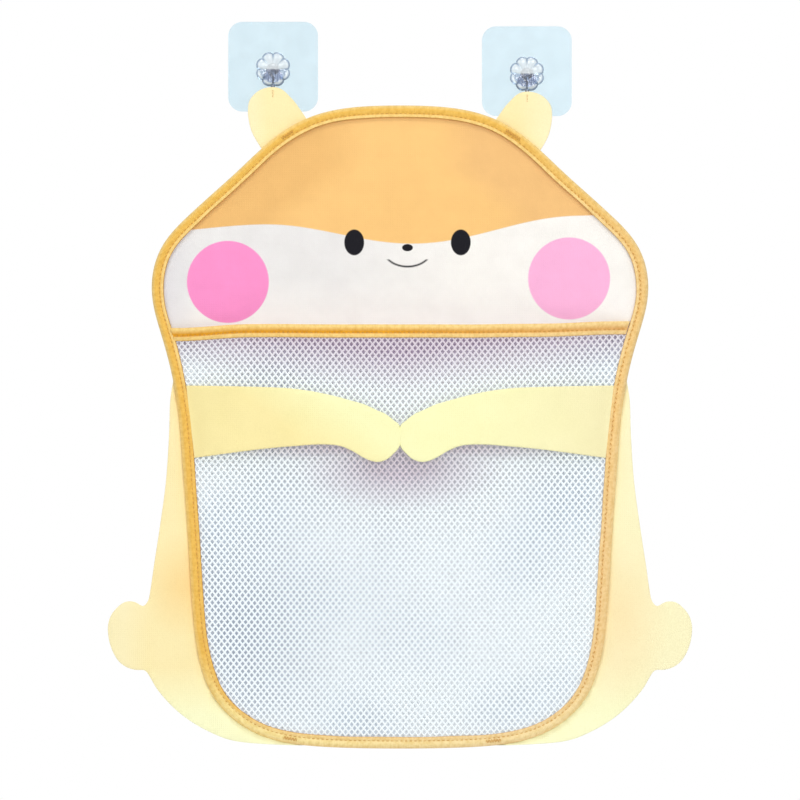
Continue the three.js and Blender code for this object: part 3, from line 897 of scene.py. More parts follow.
# Heights in the room between which the tape's colour changes, in millimetres.
BAND_HEAD_UP = (-225, -190)
BAND_FOOT_UP = (-425, -440)
TAPE_FOOT_UP = (-388, -430)
# Painted light: the tape is painted paler along a line that goes down and to the right.
PALER_SLOPE = -0.55
PALER_REACH = (90, 310)


def tape_material(name, main, roll, line, rim):
    """Woven polyester tape, folded and sewn: fine ribs across it and a fuzzy surface,
    with painted light and shade: a highlight on the roll at its edge, a lighter band
    past its stitch line and a shadow along its rim. The roll, the line and the rim are
    places across the tape in millimetres."""
    palette = colours()
    material, tree, shader = new_material(
        name, {"Roughness": 0.8, "Sheen Weight": 0.05, "Specular IOR Level": 0.2})
    coordinates = add(tree, "TexCoord")
    uv = coordinates.outputs["UV"]
    across = add(tree, "SeparateXYZ", {0: uv}).outputs["Y"]
    room = add(tree, "SeparateXYZ", {0: coordinates.outputs["Object"]})
    # Painted light: the inner band is lighter at the head and the foot, and darker down
    # the bag's sides.
    head, foot = [add(tree, "MapRange", {0: room.outputs["Z"], 1: start * MM,
                                         2: end * MM})
                  for start, end in (BAND_HEAD_UP, BAND_FOOT_UP)]
    ends = add(tree, "Math", {0: head, 1: foot}, operation="MAXIMUM")
    lit = add(tree, "MapRange", {0: ends, 3: 0.15, 4: 0.9})
    bright = add(tree, "Mix", {0: lit, 6: rgba(main), 7: rgba(palette.tape_highlight)},
                 data_type="RGBA")
    # Painted light: the tape is paler along the foot.
    ground = faded(tree, room.outputs["Z"], TAPE_FOOT_UP, rgba(main),
                   rgba(palette.tape_foot_lit))
    rolled = faded(tree, across, roll, rgba(palette.tape_highlight), ground)
    band = faded(tree, across, (line + 0.1, line + 0.9), rolled, bright)
    # The turned-in rim, with a painted shadow against the cloth.
    rimmed = faded(tree, across, (rim, rim + 0.5), band, rgba(palette.tape_rim_and_shadow))
    # Painted light: the tape is painted paler towards the lower right.
    lower = add(tree, "Math", {0: room.outputs["Z"], 1: PALER_SLOPE,
                               2: room.outputs["X"]}, operation="MULTIPLY_ADD")
    pale = add(tree, "MapRange", {0: lower, 1: PALER_REACH[0] * MM,
                                  2: PALER_REACH[1] * MM, 4: 0.6})
    shown = add(tree, "Mix", {0: pale, 6: rimmed, 7: rgba(palette.tape_pale_lit)},
                data_type="RGBA")
    ribs = add(tree, "TexWave", {"Vector": uv, "Scale": wave_scale(1.1)},
               wave_type="BANDS", bands_direction="X")
    mottle = add(tree, "TexNoise", {"Vector": uv, "Scale": per_mm(2.6), "Detail": 4})
    worn = tinted(tree, mottle, 0.36, 0.6, (0.9, 0.85, 0.72, 1), (1, 1, 1, 1))
    ribbed = tinted(tree, ribs, 0, 1, (0.96, 0.95, 0.93, 1), (1, 1, 1, 1))
    for layer in (worn, ribbed):
        shown = add(tree, "Mix", {0: 1.0, 6: shown, 7: layer}, data_type="RGBA",
                    blend_type="MULTIPLY")
    bump = add(tree, "Bump", {"Height": ribs, "Distance": 0.15 * MM, "Strength": 0.5})
    feed(tree, shader, Base_Color=shown, Normal=bump)
    return material


def thread_material():
    """Twisted polyester sewing thread: a soft gloss broken by its twist."""
    material, tree, shader = new_material(
        "polyester_thread", {"Roughness": 0.55, "Sheen Weight": 0.1})
    where = add(tree, "TexCoord").outputs["Object"]
    twist = add(tree, "TexWave", {"Vector": where, "Scale": wave_scale(0.5)},
                wave_type="BANDS", bands_direction="DIAGONAL")
    thread = colours().thread
    shown = tinted(tree, twist, 0, 1, shade(thread, 0.8), shade(thread, 1.1))
    feed(tree, shader, Base_Color=shown)
    return material


def net_material():
    """Warp-knitted polyester net: white filament yarn with a slight satin gloss, its
    stitches just showing as a relief along the strands. A faint bluish glow is painted
    on the yarn as painted light, and the yarn is painted in shade under the hem and the
    hands."""
    material, tree, shader = new_material(
        "knitted_polyester_net", {"Roughness": 0.55, "Sheen Weight": 0.1,
                                  "Specular IOR Level": 0.4,
                                  "Emission Color": rgba(colours().net_painted_glow),
                                  "Emission Strength": 0.085})
    where = add(tree, "TexCoord").outputs["Object"]
    stitches = weave(tree, where, 0.9)
    palette = colours()
    yarn = tinted(tree, stitches, 0, 1, shade(palette.net, 0.97), rgba(palette.net))
    yarn = add(tree, "Mix", {0: pocket_shade(tree, where, NET_SHARE), 6: yarn,
                             7: rgba(palette.net_shade)}, data_type="RGBA")
    bump = add(tree, "Bump", {"Height": stitches, "Distance": 0.15 * MM,
                              "Strength": 0.2})
    feed(tree, shader, Base_Color=yarn, Normal=bump)
    return material


def cord_material():
    """Braided cotton cord: matt, with the braid's diagonal plaits."""
    material, tree, shader = new_material(
        "braided_cotton_cord", {"Roughness": 0.9, "Sheen Weight": 0.2})
    uv = add(tree, "TexCoord").outputs["UV"]
    turned = add(tree, "Mapping", {"Vector": uv, "Rotation": (0, 0, math.radians(38))})
    plaits = weave(tree, turned, 0.8, ("X", "Y"))
    cord = colours().cord
    shown = tinted(tree, plaits, 0, 1, shade(cord, 0.8), rgba(cord))
    bump = add(tree, "Bump", {"Height": plaits, "Distance": 0.2 * MM, "Strength": 0.6})
    feed(tree, shader, Base_Color=shown, Normal=bump)
    return material


def steel_material():
    """Nickel-plated steel wire, drawn and bent: bright, with faint drawing lines."""
    material, tree, shader = new_material(
        "nickel_plated_wire", {"Metallic": 1.0})
    where = add(tree, "TexCoord").outputs["Object"]
    lines = add(tree, "TexNoise", {"Vector": where, "Scale": per_mm(0.6), "Detail": 4})
    steel = colours().steel
    shown = tinted(tree, lines, *PATCHY, shade(steel, 0.85), rgba(steel))
    rough = add(tree, "MapRange", {0: lines, 3: 0.16, 4: 0.34})
    feed(tree, shader, Base_Color=shown, Roughness=rough)
    return material


def clear_material(name, tint, rough, relief):
    """Clear plastic: pale aqua in the mass, with the soft waves of its moulding."""
    material, tree, shader = new_material(
        name, {"Transmission Weight": 1.0, "IOR": 1.46})
    where = add(tree, "TexCoord").outputs["Object"]
    swells = add(tree, "TexNoise", {"Vector": where, "Scale": per_mm(16), "Detail": 2})
    shown = tinted(tree, swells, *PATCHY, shade(tint, 0.985), rgba(tint))
    gloss = add(tree, "MapRange", {0: swells, 3: rough, 4: rough + 0.1})
    bump = add(tree, "Bump", {"Height": swells, "Distance": relief * MM,
                              "Strength": 0.5})
    feed(tree, shader, Base_Color=shown, Roughness=gloss, Normal=bump)
    return material


def gel_material():
    """Cast polyurethane gel film: a thin see-through layer, slightly cloudy where it
    has not wetted the plate."""
    material, tree, shader = new_material(
        "cast_urethane_gel", {"Roughness": 0.4, "IOR": 1.46})
    where = add(tree, "TexCoord").outputs["Object"]
    clouds = add(tree, "TexNoise", {"Vector": where, "Scale": per_mm(12), "Detail": 3})
    film = add(tree, "MapRange", {0: clouds, 1: 0.35, 2: 0.7, 3: 0.03, 4: 0.07})
    shown = tinted(tree, clouds, *PATCHY, shade(colours().clear, 0.96),
                   rgba(colours().clear))
    feed(tree, shader, Base_Color=shown, Alpha=film)
    return material


def flower_material(name, pivot):
    """Clear polystyrene, injection moulded: bright domes between grey lines of painted
    shade where the petals meet and along the rim, and a painted lilac shade over the
    slot."""
    palette = colours()
    material, tree, shader = new_material(
        name, {"IOR": 1.49, "Roughness": 0.1, "Coat Weight": 0.5,
               "Coat Roughness": 0.05})
    where = add(tree, "TexCoord").outputs["Object"]
    placed = add(tree, "Mapping", {
        "Vector": where, "Location": (pivot.x * MM, 0, pivot.z * MM),
        "Scale": (MM, ANY_DEPTH, MM)}, vector_type="TEXTURE")
    axes = add(tree, "SeparateXYZ", {0: placed})
    angle = add(tree, "Math", {0: axes.outputs["X"], 1: axes.outputs["Z"]},
                operation="ARCTAN2")
    turned = add(tree, "Math", {0: angle, 1: sizes().petals / 2}, operation="MULTIPLY")
    wave = add(tree, "Math", {0: turned}, operation="SINE")
    petal = add(tree, "Math", {0: wave}, operation="ABSOLUTE")
    reach = add(tree, "VectorMath", {0: placed}, operation="LENGTH")
    outer = add(tree, "MapRange", {0: reach, 1: 5.5, 2: 9})
    notch = add(tree, "MapRange", {0: petal, 1: 0.46, 2: 0.16, 4: 0.9})
    line = add(tree, "Math", {0: notch, 1: outer}, operation="MULTIPLY")
    # The rim swells with the petals, so its line does too.
    swell = add(tree, "Math", {0: petal, 1: PETAL_POWER}, operation="POWER")
    rim = add(tree, "Math", {0: swell, 1: 1.55, 2: 9.5}, operation="MULTIPLY_ADD")
    past = add(tree, "Math", {0: reach, 1: rim}, operation="SUBTRACT")
    edge = add(tree, "MapRange", {0: past, 1: -0.75, 2: 0})
    dark = add(tree, "Math", {0: line, 1: edge}, operation="MAXIMUM")
    # Painted shade: the slot shows as a lilac fan below the pin, streaked by the
    # moulding.
    low = add(tree, "MapRange", {0: axes.outputs["Z"], 1: 0.5, 2: -0.8})
    near = add(tree, "MapRange", {0: reach, 1: 9.6, 2: 8.2, 4: 0.85})
    streaks = add(tree, "TexWave", {"Vector": where, "Scale": wave_scale(1.5),
                                    "Distortion": 2.0}, bands_direction="X")
    faint = add(tree, "MapRange", {0: streaks, 3: 0.55, 4: 1.0})
    fan = add(tree, "Math", {0: low, 1: near}, operation="MULTIPLY")
    fan = add(tree, "Math", {0: fan, 1: faint}, operation="MULTIPLY")
    body = add(tree, "Mix", {0: fan, 6: rgba(palette.boss), 7: rgba(palette.slot_shade)},
               data_type="RGBA")
    shown = add(tree, "Mix", {0: dark, 6: body, 7: rgba(palette.flower_shade_lines)},
                data_type="RGBA")
    # Over the slot the wall is thin, and the wire shows through it.
    clear = add(tree, "MapRange", {0: fan, 2: 0.5, 3: 0.45, 4: 0.95})
    feed(tree, shader, Base_Color=shown, Transmission_Weight=clear)
    return material


# The stage


class TOYBAG_OT_stage(bpy.types.Operator):
    """Camera, soft light, pale floor and white surroundings"""

    bl_idname = "toybag.stage"
    bl_label = "Stage"

    # Round soft lamps, as [name, place and width in metres, power in watts].
    LAMPS = (("key_lamp", (0.6, -1.8, 0.25), 0.8, 8.5),
             ("fill_lamp", (-0.9, -1.6, 0.2), 0.8, 4),
             ("top_lamp", (-0.1, -1.1, 1.5), 0.7, 9.5),
             ("back_lamp", (0.4, 1.8, 0.9), 0.8, 10))
    WORLD_LIGHT = 0.55
    FLOOR_HALF_WIDTH = 1.5
    FLOOR_HEIGHT = -0.9
    FLOOR_LIFT = 0.3

    def execute(self, context):
        scene = context.scene
        scene.view_settings.view_transform = "Standard"
        camera = bpy.data.objects.new("camera", bpy.data.cameras.new("camera"))
        scene.collection.objects.link(camera)
        camera.location = Vector((0, -CAMERA_DISTANCE, VIEW_MIDDLE)) * MM
        camera.rotation_euler = (math.pi / 2, 0, 0)
        camera.data.sensor_width = SENSOR
        reach = CAMERA_DISTANCE - BAG_BACK
        camera.data.lens = SENSOR * reach / VIEW_WIDTH
        scene.camera = camera
        self.surround(scene)
        for name, place, size, power in self.LAMPS:
            self.lamp(scene, name, place, size, power)
        self.floor(scene)
        return {"FINISHED"}

    def surround(self, scene):
        """White for what is seen, and a plain light level for what is lit."""
        world = bpy.data.worlds.new("surroundings")
        scene.world = world
        world.use_nodes = True
        tree = world.node_tree
        tree.nodes.clear()
        path = add(tree, "LightPath")
        seen = add(tree, "Math", {0: path.outputs["Is Camera Ray"],
                                  1: path.outputs["Is Glossy Ray"]},
                   operation="MAXIMUM")
        shown = add(tree, "Math", {0: seen, 1: path.outputs["Is Transmission Ray"]},
                    operation="MAXIMUM")
        level = add(tree, "MapRange", {0: shown, 3: self.WORLD_LIGHT, 4: 1.0})
        ground = add(tree, "Background", {"Color": (1, 1, 1, 1), "Strength": level})
        add(tree, "OutputWorld", {"Surface": ground})

    def lamp(self, scene, name, place, size, power):
        light = bpy.data.lights.new(name, "AREA")
        light.shape = "DISK"
        light.size = size
        light.energy = power
        lamp = bpy.data.objects.new(name, light)
        scene.collection.objects.link(lamp)
        lamp.location = place
        aim = Vector((0, 0, VIEW_MIDDLE * MM)) - Vector(place)
        lamp.rotation_euler = aim.to_track_quat("-Z", "Y").to_euler()

    def floor(self, scene):
        """A pale floor that keeps the shadow, lifted to white only for the camera."""
        mesh = bmesh.new()
        bmesh.ops.create_grid(mesh, x_segments=8, y_segments=8,
                              size=self.FLOOR_HALF_WIDTH)
        bmesh.ops.translate(mesh, vec=(0, 0, self.FLOOR_HEIGHT), verts=mesh.verts)
        data = bpy.data.meshes.new("floor")
        mesh.to_mesh(data)
        mesh.free()
        material, tree, shader = new_material("pale_floor", {"Roughness": 0.8})
        where = add(tree, "TexCoord").outputs["Object"]
        grain = add(tree, "TexNoise", {"Vector": where, "Scale": per_mm(60),
                                       "Detail": 3})
        pale = tinted(tree, grain, *PATCHY, (0.9, 0.9, 0.9, 1), (0.93, 0.93, 0.93, 1))
        path = add(tree, "LightPath")
        lift = add(tree, "MapRange", {0: path.outputs["Is Camera Ray"],
                                      4: self.FLOOR_LIFT})
        feed(tree, shader, Base_Color=pale, Emission_Color=pale, Emission_Strength=lift)
        data.materials.append(material)
        floor = bpy.data.objects.new("floor", data)
        scene.collection.objects.link(floor)


# Hooks


class TOYBAG_OT_plates(bpy.types.Operator):
    """Clear plates, their adhesive gel pads and the steel pivot pins"""

    bl_idname = "toybag.plates"
    bl_label = "Plates and pins"

    def execute(self, context):
        tint = colours().clear
        gel = gel_material()
        plate = clear_material("moulded_clear_abs", tint, 0.12, 0.15)
        steel = steel_material()
        for label in SIDES:
            self.finish(f"{label}_adhesive_pad", gel)
            self.finish(f"{label}_plate", plate)
            self.finish(f"{label}_pivot_pin", steel)
        return {"FINISHED"}

    def finish(self, node, material):
        data = NODES[node].data
        data.materials.clear()
        data.materials.append(material)


class TOYBAG_OT_flower_bosses(bpy.types.Operator):
    """The two flower bosses, with domed petals and the slot for the wire"""

    bl_idname = "toybag.flower_bosses"
    bl_label = "Flower bosses"

    PETAL_STEPS = 12
    SHARP_ANGLE = math.radians(40)
    # The lines between the petals sink by a share of the depth. They begin at a share
    # of the radius, and deepen from the flower's back to its front.
    GROOVE = 0.16
    GROOVE_START = 0.25
    GROOVE_WIDTH = 0.3
    GROOVE_DEPTH = (1.6, -0.6)
    # The flower's section from its back middle to its front middle, as
    # [share of the radius, share of the depth from back to front].
    SECTION = [(0, 0), (0.35, 0), (0.7, 0), (0.96, 0), (1, 0.08), (1, 0.35), (1, 0.62),
               (0.985, 0.78), (0.94, 0.88), (0.86, 0.95), (0.76, 0.98), (0.65, 0.98),
               (0.54, 0.94), (0.44, 0.88), (0.34, 0.84), (0.26, 0.88), (0.2, 0.95),
               (0.1, 0.98), (0, 0.98)]

    def execute(self, context):
        for label, pivot in PIVOTS.items():
            flower = self.flower(pivot)
            piece = keep(flower, row_matrix(), f"{label}_flower",
                         flower_material(f"moulded_clear_{label}_flower", pivot))
            self.cut_slot(context, piece, pivot)
            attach(piece, "wall_mounts")
            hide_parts(f"{label}_flower_boss")
        return {"FINISHED"}

    def flower(self, pivot):
        petals = sizes().petals
        steps = petals * self.PETAL_STEPS

        def place(i, j):
            share, depth = self.SECTION[j]
            angle = 2 * math.pi * (i % steps) / steps
            low = 1 - abs(math.sin(petals * angle / 2)) ** PETAL_POWER
            radius = BOSS_RADIUS * share * (1 - BOSS_NOTCH * low * share)
            out = ease((share - self.GROOVE_START) / self.GROOVE_WIDTH)
            rate, start = self.GROOVE_DEPTH
            sunk = self.GROOVE * low * out * ease(depth * rate + start)
            forward = PLATE_FRONT + (BOSS_FRONT - PLATE_FRONT) * (depth - sunk)
            return Vector((pivot.x + radius * math.sin(angle), -forward,
                           pivot.z + radius * math.cos(angle)))

        return wrap(steps, len(self.SECTION) - 1, place, lambda i, j: (i, j))

    def cut_slot(self, context, piece, pivot):
        """Cuts the fan that the wire swings in: round the pin, and open downwards."""
        room = PIN_RADIUS + mm(sizes().wire) + 2 * WIRE_CLEARANCE
        reach = BOSS_RADIUS + 1
        arc = [math.pi * k / 16 for k in range(17)]
        outline = [(room * math.cos(a), room * math.sin(a)) for a in arc]
        spread = reach * math.sin(FAN_HALF_ANGLE) + room / 2
        outline += [(-spread, -reach), (spread, -reach)]
        mesh = slab([(pivot.x + x, pivot.z + z) for x, z in outline],
                    SLOT_BACK, SLOT_FRONT)
        bmesh.ops.transform(mesh, matrix=row_matrix(), verts=mesh.verts)
        data = bpy.data.meshes.new("fan")
        mesh.to_mesh(data)
        mesh.free()
        fan = bpy.data.objects.new("fan", data)
        context.scene.collection.objects.link(fan)
        cut = piece.modifiers.new("Slot", "BOOLEAN")
        cut.operation = "DIFFERENCE"
        cut.solver = "EXACT"
        cut.object = fan
        context.view_layer.update()
        whole = piece.evaluated_get(context.evaluated_depsgraph_get())
        piece.data = bpy.data.meshes.new_from_object(whole)
        piece.modifiers.clear()
        bpy.data.objects.remove(fan)
        piece.data.set_sharp_from_angle(angle=self.SHARP_ANGLE)


def hook_point(pivot, across, depth, drop):
    """A point from a hook's pin: across, in front of the wall and down."""
    return Vector((pivot.x + across, -depth, pivot.z - drop))


class TOYBAG_OT_wire_hooks(bpy.types.Operator):
    """The two bent wire hooks: an eye on the pin, a stem and a J"""

    bl_idname = "toybag.wire_hooks"
    bl_label = "Wire hooks"

    FACETS = 14
    STATIONS = 110
    # The wire's end is pressed a little wider, over this share of its length.
    TIP_SWELL = 0.35
    TIP_START = 0.955
    TIP_WIDTH = 0.02
    EYE_START = -50
    EYE_TURN = 265
    # How far below the pin the wire leaves its eye and comes to the middle.
    EYE_DROPS = (5.6, 7.4)

    def execute(self, context):
        steel = steel_material()
        wire = mm(sizes().wire) / 2
        for label, pivot in PIVOTS.items():
            path = evenly(smoothed(self.path(pivot, wire), 8, closed=False),
                          self.STATIONS, closed=False)

            def radius(share):
                swell = ease((share - self.TIP_START) / self.TIP_WIDTH)
                return wire + self.TIP_SWELL * swell

            keep(tube(path, radius, self.FACETS), row_matrix(), f"{label}_wire", steel,
                 f"{label}_hook", [f"{label}_wire_hook"])
        return {"FINISHED"}

    def path(self, pivot, wire):
        eye = PIN_RADIUS + WIRE_CLEARANCE + wire
        points = []
        for i in range(11):
            angle = math.radians(self.EYE_START + self.EYE_TURN * i / 10)
            points.append(hook_point(pivot, eye * math.cos(angle), STEM_DEPTH,
                                     -eye * math.sin(angle)))
        for drop in (*self.EYE_DROPS, BOSS_RADIUS - 2, BOSS_RADIUS):
            points.append(hook_point(pivot, 0, STEM_DEPTH, drop))
        for i in range(7):
            angle = math.pi * i / 6
            depth = CRADLE_DEPTH - BEND_RADIUS * math.cos(angle)
            points.append(hook_point(pivot, 0, depth,
                                     STEM_LENGTH + BEND_RADIUS * math.sin(angle)))
        points.append(hook_point(pivot, 0, CRADLE_DEPTH + BEND_RADIUS,
                                 STEM_LENGTH - TIP_RISE))
        return points


class TOYBAG_OT_hanging_loops(bpy.types.Operator):
    """The two cord loops and the cloth tabs that hold their ends"""

    bl_idname = "toybag.hanging_loops"
    bl_label = "Hanging loops"

    # The tabs' thickness, rounding and cuts, and the braid's relief, in millimetres.
    TAB_CLOTH = 0.9
    TAB_ROUNDING = 0.3
    TAB_CUTS = 1.2
    PLAITS = 3
    PLAIT_TURN = 2.4  # how fast the plaits wind, in radians a millimetre
    PLAIT_RELIEF = 0.09
    STATIONS = 90
    FACETS = 14

    def execute(self, context):
        material = cord_material()
        for label, pivot in PIVOTS.items():
            body = f"{label}_hanger"
            path = evenly(smoothed(self.path(pivot), 6, closed=False), self.STATIONS,
                          closed=False)
            cord = tube(path, mm(sizes().cord) / 2, self.FACETS, self.plait)
            keep(cord, row_matrix(), f"{label}_cord_loop", material, body,
                 [f"{label}_loop"])
            outline = front_outline(f"{label}_loop_tab", row_matrix())
            back = EAR_BACK - SHEET_GAP - self.TAB_CLOTH
            tab = cloth(outline, self.TAB_CLOTH, self.TAB_ROUNDING, self.TAB_CUTS,
                        lambda x, f, z: Vector((x, -back - f, z)))
            keep(tab, row_matrix(), f"{label}_cord_tab", material, body,
                 [f"{label}_loop_tab"])
        return {"FINISHED"}

    def plait(self, distance, angle):
        """The raised strands of a round braid."""
        first = math.cos(self.PLAITS * angle + distance * self.PLAIT_TURN)
        second = math.cos(self.PLAITS * angle - distance * self.PLAIT_TURN)
        return self.PLAIT_RELIEF * (max(first, second) - 1)

    def path(self, pivot):
        wire, cord = mm(sizes().wire) / 2, mm(sizes().cord) / 2
        arch = wire + SHEET_GAP + cord
        bend = STEM_LENGTH + BEND_RADIUS
        end_depth = EAR_BACK - SHEET_GAP - cord
        leg = [(LOOP_SPREAD, end_depth, bend + LOOP_DROP),
               (LOOP_SPREAD, end_depth, bend + LOOP_DROP * 5 / 6),
               (LOOP_SPREAD, (end_depth + CRADLE_DEPTH) / 2, bend + LOOP_DROP / 2),
               ((arch + LOOP_SPREAD) / 2, CRADLE_DEPTH, bend + cord)]
        points = [hook_point(pivot, -x, depth, drop) for x, depth, drop in leg]
        for i in range(7):
            angle = math.pi * i / 6
            points.append(hook_point(pivot, -arch * math.cos(angle), CRADLE_DEPTH,
                                     bend - arch * math.sin(angle)))
        return points + [hook_point(pivot, *p) for p in reversed(leg)]


# Cloth


class TOYBAG_OT_ears(bpy.types.Operator):
    """The two ears, which hang on the loops and bend into the head"""

    bl_idname = "toybag.ears"
    bl_label = "Ears"

    ROUNDING = 0.5
    CUTS = 3
    # Places down from an ear's tip, where it goes behind the head's tape, and how far
    # the tape presses it.
    BEHIND_START = 24
    BEHIND_WIDTH = 14
    PRESSED = 0.7
    # Its free part curls a little, and its tip is drawn down by the loop's stitches.
    CURL = 0.5
    CURL_LENGTH = 18
    TIP_SUNK = 1.4
    # Two places down from an ear's tip, which are worked out as points that nothing
    # reads.
    BEND_START = 15
    BEND_END = 36

    def execute(self, context):
        palette = colours()
        material = dyed_cloth("brushed_polyester_ears", palette.pale,
                              [(ACROSS, (-88, -98), palette.paw),
                               (ACROSS, (78, 96), palette.paw)])
        for label, side in SIDES.items():
            outline = smoothed(front_outline(f"{label}_ear", row_matrix()), 3)
            tip = PIVOTS[label].z - EAR_TOP_DROP

            def place(x, forward, z):
                lower = ease((tip - self.BEHIND_START - z) / self.BEHIND_WIDTH)
                curl = self.CURL * wander(x, z, self.CURL_LENGTH, 6 + side)
                sunk = self.TIP_SUNK * ease((z - tip + self.BEHIND_WIDTH)
                                            / self.BEHIND_WIDTH)
                ahead = forward + self.PRESSED * lower + abs(curl * (1 - lower))
                return Vector((x, -EAR_BACK - ahead, z - sunk))

            mesh = cloth(outline, EAR_CLOTH, self.ROUNDING, self.CUTS, place)
            ear = keep(mesh, row_matrix(), f"{label}_ear_cloth", material,
                       replaced=[f"{label}_ear"])
            start, end = [(PIVOTS[label].x * MM, -EAR_BACK * MM, (tip - drop) * MM)
                          for drop in (self.BEND_START, self.BEND_END)]
            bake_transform(ear)
            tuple(start)
            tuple(end)
        return {"FINISHED"}


class TOYBAG_OT_body_panel(bpy.types.Operator):
    """The body cloth behind the bag, with its sides and paws"""

    bl_idname = "toybag.body_panel"
    bl_label = "Body panel"

    ROUNDING = 0.5

    def execute(self, context):
        palette = colours()
        # Painted light and shade: the body is lighter on its right, and warmer in soft
        # ovals of shade beside the tape on both sides.
        material = dyed_cloth("brushed_polyester_body", palette.pale,
                              [(ACROSS, (-168, -184), palette.paw),
                               (ACROSS, (-60, 150), palette.pale_right_lit),
                               (UP, (-398, -430), palette.pale_low)],
                              [((-146, -343), (14, 20), palette.warm_left_shade),
                               ((148, -365), (18, 34), palette.warm_right_shade)])
        mesh = cloth(BODY_OUTLINE, BODY_CLOTH, self.ROUNDING, mm(sizes().cloth_grid),
                     lambda x, f, z: Vector((x, -f - body_forward(x, z), z)))
        body = keep(mesh, bag_matrix(), "body_cloth", material, "bag",
                    ["body_panel"])
        return {"FINISHED"}


class TOYBAG_OT_face_panel(bpy.types.Operator):
    """The printed cloth of the head, which runs on behind the net"""

    bl_idname = "toybag.face_panel"
    bl_label = "Face panel"

    ROUNDING = 0.3

    def execute(self, context):
        mesh = cloth(FACE_OUTLINE, FACE_CLOTH, self.ROUNDING, mm(sizes().cloth_grid),
                     lambda x, f, z: Vector((x, -f - face_forward(x, z), z)))
        face = keep(mesh, bag_matrix(), "face_cloth", printed_cloth(),
                    "bag", ["face_panel"])
        return {"FINISHED"}


class TOYBAG_OT_edge_tape(bpy.types.Operator):
    """The tape folded round the bag's edge, puckered along its stitch line"""

    bl_idname = "toybag.edge_tape"
    bl_label = "Edge tape"

    STATIONS = 860
    PUCKER = -0.16  # how far a stitch draws the tape in
    FACE_START = 5.9  # the tape's front face is farther forward than this
    # Small dents, as [height, length along, length across], and slow changes of its
    # width, as [change, length, seed], in millimetres.
    DENTS = (0.26, 6, 3)
    WIDTH_WAVES = (0.3, 24, 7)
    # The painted highlight on the roll at its edge, and its rim's place past the stitch
    # line.
    ROLL = (0.4, 2.4)
    RIM = 2.1
    # The folded tape's section, as [distance in from the edge, forward], once round.
    SECTION = [(8, 5.85), (8, 6.3), (7.75, 6.55), (7.1, 6.66), (6.3, 6.58), (5.8, 6.38),
               (5.3, 6.15), (4.8, 6.4), (4, 6.75), (3, 6.86), (2.1, 6.6), (1.3, 6.05),
               (0.6, 5.2), (0.15, 4.3), (0, 3.4), (0.15, 2.6), (0.6, 2.15), (1.6, 1.92),
               (4.7, 2.02), (8, 1.9), (8, 2.85), (4.5, 2.9), (1.8, 3.2), (1.8, 5.3),
               (4.5, 5.7)]

    def execute(self, context):
        edge = evenly(BAG_OUTLINE, self.STATIONS)
        count = len(self.SECTION)
        ahead = [(edge[(i + 1) % len(edge)] - edge[i - 1]).normalized()
                 for i in range(len(edge))]
        step = (edge[1] - edge[0]).length
        line = mm(sizes().stitch_line)
        dent, long, short = self.DENTS
        change, span, seed = self.WIDTH_WAVES

        def place(i, j):
            i %= len(edge)
            distance, forward = self.SECTION[j % count]
            drawn = 0
            if 0 < distance < BINDING_WIDTH and forward > self.FACE_START:
                drawn = pucker(distance, line, i * step, self.PUCKER)
                at = Vector((i * step / long, distance / short, 0))
                drawn += dent * noise.noise(at)
            wave = noise.noise(Vector((i * step / span, seed, 0)))
            wide = change * wave * distance / BINDING_WIDTH
            into = Vector((ahead[i].y, -ahead[i].x)) * (distance + wide)
            return Vector((edge[i].x + into.x, -forward - drawn, edge[i].y + into.y))

        def uv_at(i, j):
            return i * step, self.SECTION[j % count][0]

        mesh = wrap(len(edge), count, place, uv_at)
        tape = tape_material("folded_polyester_tape", colours().tape, self.ROLL, line,
                             line + self.RIM)
        keep(mesh, bag_matrix(), "edge_tape", tape, "bag",
             ["edge_binding"])
        return {"FINISHED"}


class TOYBAG_OT_pocket_net(bpy.types.Operator):
    """The knitted net of the pocket, strand by strand"""

    bl_idname = "toybag.pocket_net"
    bl_label = "Pocket net"

    CELLS = 138  # rows of holes each way, more than enough for the pocket
    TOP_MARGIN = 2.6  # how far below the mouth's fold the net ends, within the hem
    DRAWN_HEIGHT = 45  # the hem's line draws the net along down to here
    STRAND_DEPTH = 0.62  # a strand's depth, as a share of its width
    STANDOFF = 0.3  # how far the net lies back from the front of its CAD sheet

    def execute(self, context):
        wide, high = mm(sizes().net_width), mm(sizes().net_height)
        middle = (NET_TOP - BAG_HEIGHT) / 2
        mesh = bmesh.new()
        bmesh.ops.create_grid(mesh, x_segments=self.CELLS, y_segments=self.CELLS,
                              size=self.CELLS / 2)
        lattice = (Matrix.Translation((0, 0, middle))
                   @ Matrix.Diagonal((wide / 2, 1, high / 2, 1))
                   @ Matrix.Rotation(math.pi / 2, 4, "X")
                   @ Matrix.Rotation(math.pi / 4, 4, "Z")
                   @ Matrix.Scale(math.sqrt(2), 4))
        bmesh.ops.transform(mesh, matrix=lattice, verts=mesh.verts)
        outside = []
        for face in mesh.faces:
            at = face.calc_center_median()
            if (at.z >= NET_TOP - self.TOP_MARGIN
                    or abs(at.x) >= half_width(NET_WIDTHS, at.z)):
                outside.append(face)
        bmesh.ops.delete(mesh, geom=outside, context="FACES")
        bmesh.ops.wireframe(mesh, faces=mesh.faces, thickness=mm(sizes().strand),
                            use_replace=True, use_boundary=True, use_even_offset=True)
        for vertex in mesh.verts:
            x, y, z = vertex.co
            drawn = hem_rise(x) * ease((z - NET_TOP + self.DRAWN_HEIGHT)
                                       / self.DRAWN_HEIGHT)
            back = NET_FRONT - self.STANDOFF + bulge(x, z)
            vertex.co = (x, y * self.STRAND_DEPTH - back, z + drawn)
        net = keep(mesh, bag_matrix(), "net_pocket", net_material(),
                   "bag", ["pocket_net"])
        net.data.shade_flat()
        return {"FINISHED"}


